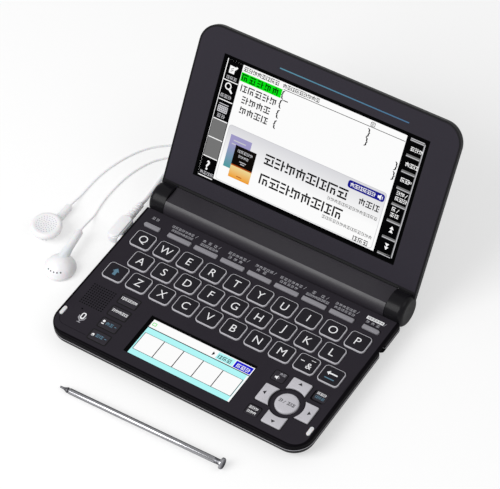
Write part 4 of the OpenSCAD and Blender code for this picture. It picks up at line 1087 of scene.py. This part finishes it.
def make_stylus():
    stylus = spun("stylus_tube", [
        (0, 5.4), (1.2, 5.4), (1.45, TUBE_START), (TUBE_R, 5.75), (TUBE_R, 88.5), (1.45, 88.6), (1.2, 88.6),
        (1.2, 91.9), (2.6, 91.9), (2.85, 92), (DISC_R, 92.2), (DISC_R, 92.7), (2.8, 92.9), (2.5, STYLUS_L),
        (0, STYLUS_L)], 40)
    nib = spun("nib", [
        (0, 0), (0.3, 0.05), (0.52, 0.3), (0.58, 2.2), (0.75, 2.8), (1.2, 3.9), (1.4, 4.3), (1.42, 4.7),
        (1.2, 4.9), (0.85, 5), (0.85, 5.5), (0, 5.5)], 32)
    collar = spun("collar", [(0, 88.4), (1.42, 88.4), (1.44, 88.7), (1.44, 89.9), (1.3, 90), (1.3, 90.3),
                             (1.44, 90.4), (1.44, 91.95), (0, 91.95)], 32)
    join(painted(stylus, STEEL), painted(nib, TIP_GREY), painted(collar, TIP_GREY))
    tilt = math.atan((DISC_R - TUBE_R) / (STYLUS_L - DISC_T - TUBE_START))
    lift = TUBE_R * math.cos(tilt) - TUBE_START * math.sin(tilt)
    lying = turn_on("Z", 1) @ turn_on("Y", 90 - math.degrees(tilt))
    placed(smooth(stylus, 30), shift(WALL_X + 23.8, FRONT_Y - 21.05, TABLE_Z + lift) @ lying)
    settled(stylus, "stylus_body", "stylus_steel", "stylus")


# Earphones

PLUG_BOX = (-84.2, 12.5, -77, 28.7)
PLUG_LOW = 0.2
PLUG_HIGH = 6.2
PLUG_R = 3
PLUG_STEP = 0.6
JACK_Y = 15.5
JACK_Z = 3.2
CORD_X = -81.3
RIBS = 5
RIB_PITCH = 2.325
RIB_NECK = 1.55


def plug_block(inset, overhang, radius, segments):
    """A rounded block inset from the plug's sides, and sunk from its faces by an overhang"""
    x0, y0, x1, y1 = PLUG_BOX
    low, high = PLUG_LOW + overhang, PLUG_HIGH - overhang
    outline = round_box(x0 + inset, y0 + inset, x1 - inset, y1 - inset, PLUG_R - inset, 8)
    piece = slab("plug", outline, low, high)
    for height in (low, high):
        eased(piece, height, radius, segments)
    return painted(piece, WHITE_EARS)


def make_plug():
    """Right-angle plug: stepped body, boss and pin, and a ribbed relief"""
    body = plug_block(0, PLUG_STEP, 0.9, 4)
    core = plug_block(PLUG_STEP, 0, 0.5, 3)
    boss = spun("boss", [(0, 0), (2.2, 0), (2.2, 3.2), (2.05, 3.4), (0, 3.4)], 32)
    placed(boss, shift(-77.6, JACK_Y, JACK_Z) @ turn_on("Y", 90))
    ribs = [(0, -0.6)]
    for i in range(RIBS):
        start, r = RIB_PITCH * i, 2.25 - 0.12 * i
        ribs += [(RIB_NECK, start - 0.45), (RIB_NECK, start), (r - 0.15, start), (r, start + 0.2),
                 (r, start + 1.6), (r - 0.15, start + 1.8), (RIB_NECK, start + 1.85)]
    relief = spun("relief", ribs + [(1.5, 11.3), (1.2, 11.6), (0, 11.6)], 32)
    placed(relief, shift(CORD_X, 28.6, JACK_Z) @ turn_on("X", -93))
    pin = spun("pin", [
        (0, 0), (1.75, 0), (1.75, 5.2), (1.55, 5.25), (1.55, 5.7), (1.75, 5.75), (1.75, 8.2), (1.55, 8.25),
        (1.55, 8.7), (1.75, 8.75), (1.75, 11.4), (1.3, 11.9), (1.55, 12.6), (0.7, 14), (0, 14.1)], 32)
    placed(pin, shift(-74.3, JACK_Y, JACK_Z) @ turn_on("Y", 90))
    join(body, core, painted(boss, WHITE_EARS), painted(relief, WHITE_EARS), painted(pin, SPRING))
    settled(smooth(body, 35), "earphones", "earphone_white", "earphone_plug")


def ear_shell(name, length):
    """Bud about the middle of its face, face up, with a stem of a given reach along +Y"""
    bud = spun(name, [
        (0, 0.05), (5.6, 0.1), (6.0, 0.28), (7.0, 0.22), (7.7, -0.15), (8.15, -0.9), (8.2, -1.9), (8.0, -2.5),
        (7.9, -2.62), (7.85, -2.8), (7.6, -3.6), (6.4, -5.1), (4.6, -6.7), (2.6, -7.7), (1.2, -7.95),
        (0, -8)], 64)
    stem = spun("stem", [
        (0, 1.0), (2.3, 1.0), (2.25, 8), (2.1, length - 7), (2.05, length - 1), (1.95, length - 0.4),
        (1.6, length - 0.1), (0.8, length), (0, length)], 32)
    placed(stem, shift(0, 0, -5.7) @ turn_on("X", -90))
    neck = spun("neck", [(0, 0.5), (3.1, 0.5), (2.8, 3.5), (2.5, 6), (2.2, 8.6), (0, 8.6)], 32)
    placed(neck, shift(0, 1.2, -4.8) @ turn_on("X", -95.5))
    return join(bud, stem, neck)


def ear_holes():
    """Painted shade for the small round openings in the bud's face, ring by ring"""
    dots = []
    for ring, count in ((0, 1), (1.3, 6), (2.6, 12), (3.9, 17), (5.1, 23)):
        for i in range(count):
            angle = math.tau * i / count + ring
            dots.append(disc(ring * math.cos(angle), ring * math.sin(angle), 0.3, 8))
    return dots


def make_earpieces():
    """Two buds, each with painted shade for its face's openings and for five vents in a curved row on its
    back
    """
    right_turn = turn_on("Z", 7.8) @ turn_on("Y", 180)
    for name, length, place in (("left_bud", 19.4, shift(-112.8, 1.9, 7)),
                                ("right_bud", 21.9, shift(-93.5, -13.8, -0.7) @ right_turn)):
        bud = painted(ear_shell(name, length), WHITE_EARS, HOLE_SHADE, VENT_SHADE)
        # Painted shade: pale grey discs where the face's openings are
        inked(bud, placed(sheet_of(ear_holes(), 0.03), shift(0, 0, 0.09)), 1)
        # Painted shade: five grey discs for the vent holes on the bud's back
        for i in range(5):
            spot = turn_on("Z", -123 + 16 * i) @ shift(6.42, 0, -5.1) @ turn_on("Y", 133)
            inked(bud, placed(sheet_of([disc(0, 0, 0.42, 12)], 0.06), spot), 2)
        settled(placed(smooth(bud, 35), place), "earphones", "earphone_white", "earpieces")


# Earphone cords

TWIN_D = 2
LEAD_D = 1
TWIN_Z = 0.02
LEAD_Z = -0.48
COIL_X = -54
COIL_Y = 101
COIL_TURNS = 11.5
COIL_PITCH = 2.5
COIL_OUT_R = 12 + COIL_TURNS / 4 * COIL_PITCH
COIL_TOP_Z = TWIN_Z + COIL_PITCH
RINGS = 24
SLIDER_Y = COIL_Y + COIL_OUT_R
LEAD_START_X = COIL_X - 10
LEAD_PITCH = 1.5
LEAD_GAP = 2.3
WIND_START = 128
WIND_END = 512


def at_height(z, *spots):
    return [(x, y, z) for x, y in spots]


TWIN_ROUTE = [(CORD_X, 40.2, 2.6), (CORD_X - 0.3, 44, 1.6), (-82.4, 48, 0.7)] + at_height(
    TWIN_Z, (-83.2, 54), (-83.8, 60), (-83.8, 66), (-82.8, 71), (-79.8, 75.4))
TWIN_ROUTE += [(-75.4, 78.6, 0.7), (-70, 80.8, 1.8), (-64.5, 82, 2.4)] + at_height(
    COIL_TOP_Z, (COIL_X - 6, COIL_Y - COIL_OUT_R), (COIL_X - 2, COIL_Y - COIL_OUT_R))
LEFT_ROUTE = [(-112.8, 21.3, 1.3), (-112.9, 25, 0.9), (-113.1, 30, -0.2)] + at_height(
    LEAD_Z, (-113.2, 36), (-113, 43), (-112.2, 50), (-110.6, 57), (-108.2, 64), (-104.8, 71), (-100.5, 76.8),
    (-95.4, 81.2), (-90.2, 85.4), (-86.6, 90.6), (-84.4, 96.4), (-82.3, 102.4))
RIGHT_ROUTE = [(-96.5, 8, 4.9), (-96.9, 11.5, 4.4), (-97.6, 15.5, 2.9), (-98.5, 19.5, 1)] + at_height(
    LEAD_Z, (-99.4, 24), (-100.3, 29), (-101, 35), (-101.1, 42), (-100.7, 49), (-99.6, 56), (-97.4, 63),
    (-94.2, 69.6), (-89.6, 74.8), (-85.4, 79.6), (-83.2, 85.4), (-82.2, 91.6), (-81, 97.6), (-79, 103.2))


def smooth_route(points, steps):
    """Points on one smooth curve through the route's points"""
    route = [Vector(p) for p in points]
    last = len(route) - 1
    found = []
    for i in range(last):
        before, here, there, after = route[max(i - 1, 0)], route[i], route[i + 1], route[min(i + 2, last)]
        for step in range(steps):
            t = step / steps
            pull = (there - before) * t
            bend = (2 * before - 5 * here + 4 * there - after) * t * t
            turn = (3 * here - before - 3 * there + after) * t ** 3
            found.append(0.5 * (2 * here + pull + bend + turn))
    return found + [route[last]]


def coil_spot(degrees, radius, height):
    turn = math.radians(degrees)
    return Vector((COIL_X + radius * math.cos(turn), COIL_Y + radius * math.sin(turn), height))


def coil_points():
    """The twin cord wound in along the top, down in half a turn, and out again on the table"""
    found = []
    for i in range(int(COIL_TURNS * RINGS) + 1):
        turn = i / RINGS
        radius = COIL_OUT_R - min(turn, COIL_TURNS - turn) * COIL_PITCH
        sunk = min(max((turn - COIL_TURNS / 2 + 0.25) / 0.5, 0), 1)
        height = COIL_TOP_Z - COIL_PITCH * (3 * sunk ** 2 - 2 * sunk ** 3)
        found.append(coil_spot(360 * turn - 90, radius, height))
    return found + [Vector((COIL_X - 2, SLIDER_Y, TWIN_Z))]


def lead_points(first_r, side, route):
    """One lead from the slider, wound outwards round the coil, then back along its route to the earpiece"""
    found = [Vector((LEAD_START_X, SLIDER_Y + side, LEAD_Z)),
             Vector((LEAD_START_X - 1, SLIDER_Y + side * 1.3, LEAD_Z))]
    for i in range(int((WIND_END - WIND_START) / 360 * RINGS) + 1):
        wound = i * 360 / RINGS
        found.append(coil_spot(WIND_START + wound, first_r + wound / 360 * 2 * LEAD_PITCH, LEAD_Z))
    return found + smooth_route(route + [found[-1]], 2)[-2::-1]


def make_cords():
    first_r = COIL_OUT_R + LEAD_GAP
    for name, points, width, lay, stands_for, carried in (
            ("twin_cord", smooth_route(TWIN_ROUTE, 3) + coil_points(), TWIN_D, "coiled",
             ["earphone_cord", "earphone_coil"], ["plug", "cord_slider"]),
            ("left_lead", lead_points(first_r + LEAD_PITCH, 0.6, LEFT_ROUTE), LEAD_D, "loose",
             ["lead_coil", "ear_leads"], ["left_bud"]),
            ("right_lead", lead_points(first_r, -0.6, RIGHT_ROUTE), LEAD_D, "loose",
             ["lead_coil", "ear_leads"], ["right_bud"])):
        cord = lines_through(name, [points])
        cord.data.twist_mode = "Z_UP"
        cord.data.use_fill_caps = True
        cord.data.bevel_depth = width * MM / 2
        cord.data.bevel_resolution = 3
        settled(painted(cord, WHITE_CORD), "earphones", "cord_white", *stands_for)


# Floor and light

FLOOR_W = 6
LAMPS = (("key_light", (-0.47, -0.8, 0.82), 0.8, 10.5), ("fill_light", (0.9, 0.2, 1.1), 0.8, 2.5))


def make_studio():
    pick()
    bpy.ops.mesh.primitive_plane_add(size=1, location=(0, 0, (TABLE_Z - 0.1) * MM))
    floor = bpy.context.object
    floor.name = "floor"
    placed(floor, Matrix.Diagonal((FLOOR_W, FLOOR_W, 1, 1)))
    finish = Finish("floor_white")
    rays = finish.add("LightPath").outputs
    seen = finish.add("Math", {0: rays["Is Camera Ray"], 1: rays["Is Transmission Ray"]}, operation="MAXIMUM")
    paper = finish.add("BsdfDiffuse", {"Color": (0.82, 0.82, 0.82, 1)})
    white = finish.add("BsdfDiffuse", {"Color": "#ffffff"})
    glare = finish.add("Emission", {"Color": "#ffffff", "Strength": 1})
    bright = finish.add("MixShader", {0: 0.5, 1: white.outputs[0], 2: glare.outputs[0]})
    both = finish.add("MixShader", {0: seen.outputs[0], 1: paper.outputs[0], 2: bright.outputs[0]})
    finish.add("OutputMaterial", {"Surface": both.outputs[0]})
    painted(floor, finish.material)
    world = bpy.data.worlds.new("room")
    bpy.context.scene.world = world
    world.use_nodes = True
    background = world.node_tree.nodes["Background"].inputs
    background[0].default_value = (1, 1, 1, 1)
    background[1].default_value = 0.5
    for name, place, size, power in LAMPS:
        data = bpy.data.lights.new(name, "AREA")
        data.size = size
        data.energy = power
        turn = (-Vector(place)).to_track_quat("-Z", "Y").to_matrix().to_4x4()
        link(name, data).matrix_world = Matrix.Translation(place) @ turn


for make in (set_camera, make_keys, make_main_picture, make_lid_trim, make_touch_picture, make_bars,
             make_side_keys, make_arrow_keys, make_enter_key, make_corner_keys, make_bumpers, make_deck_print,
             make_stylus, make_plug, make_earpieces, make_cords, make_studio):
    make()
bpy.context.scene.view_settings.view_transform = "Standard"
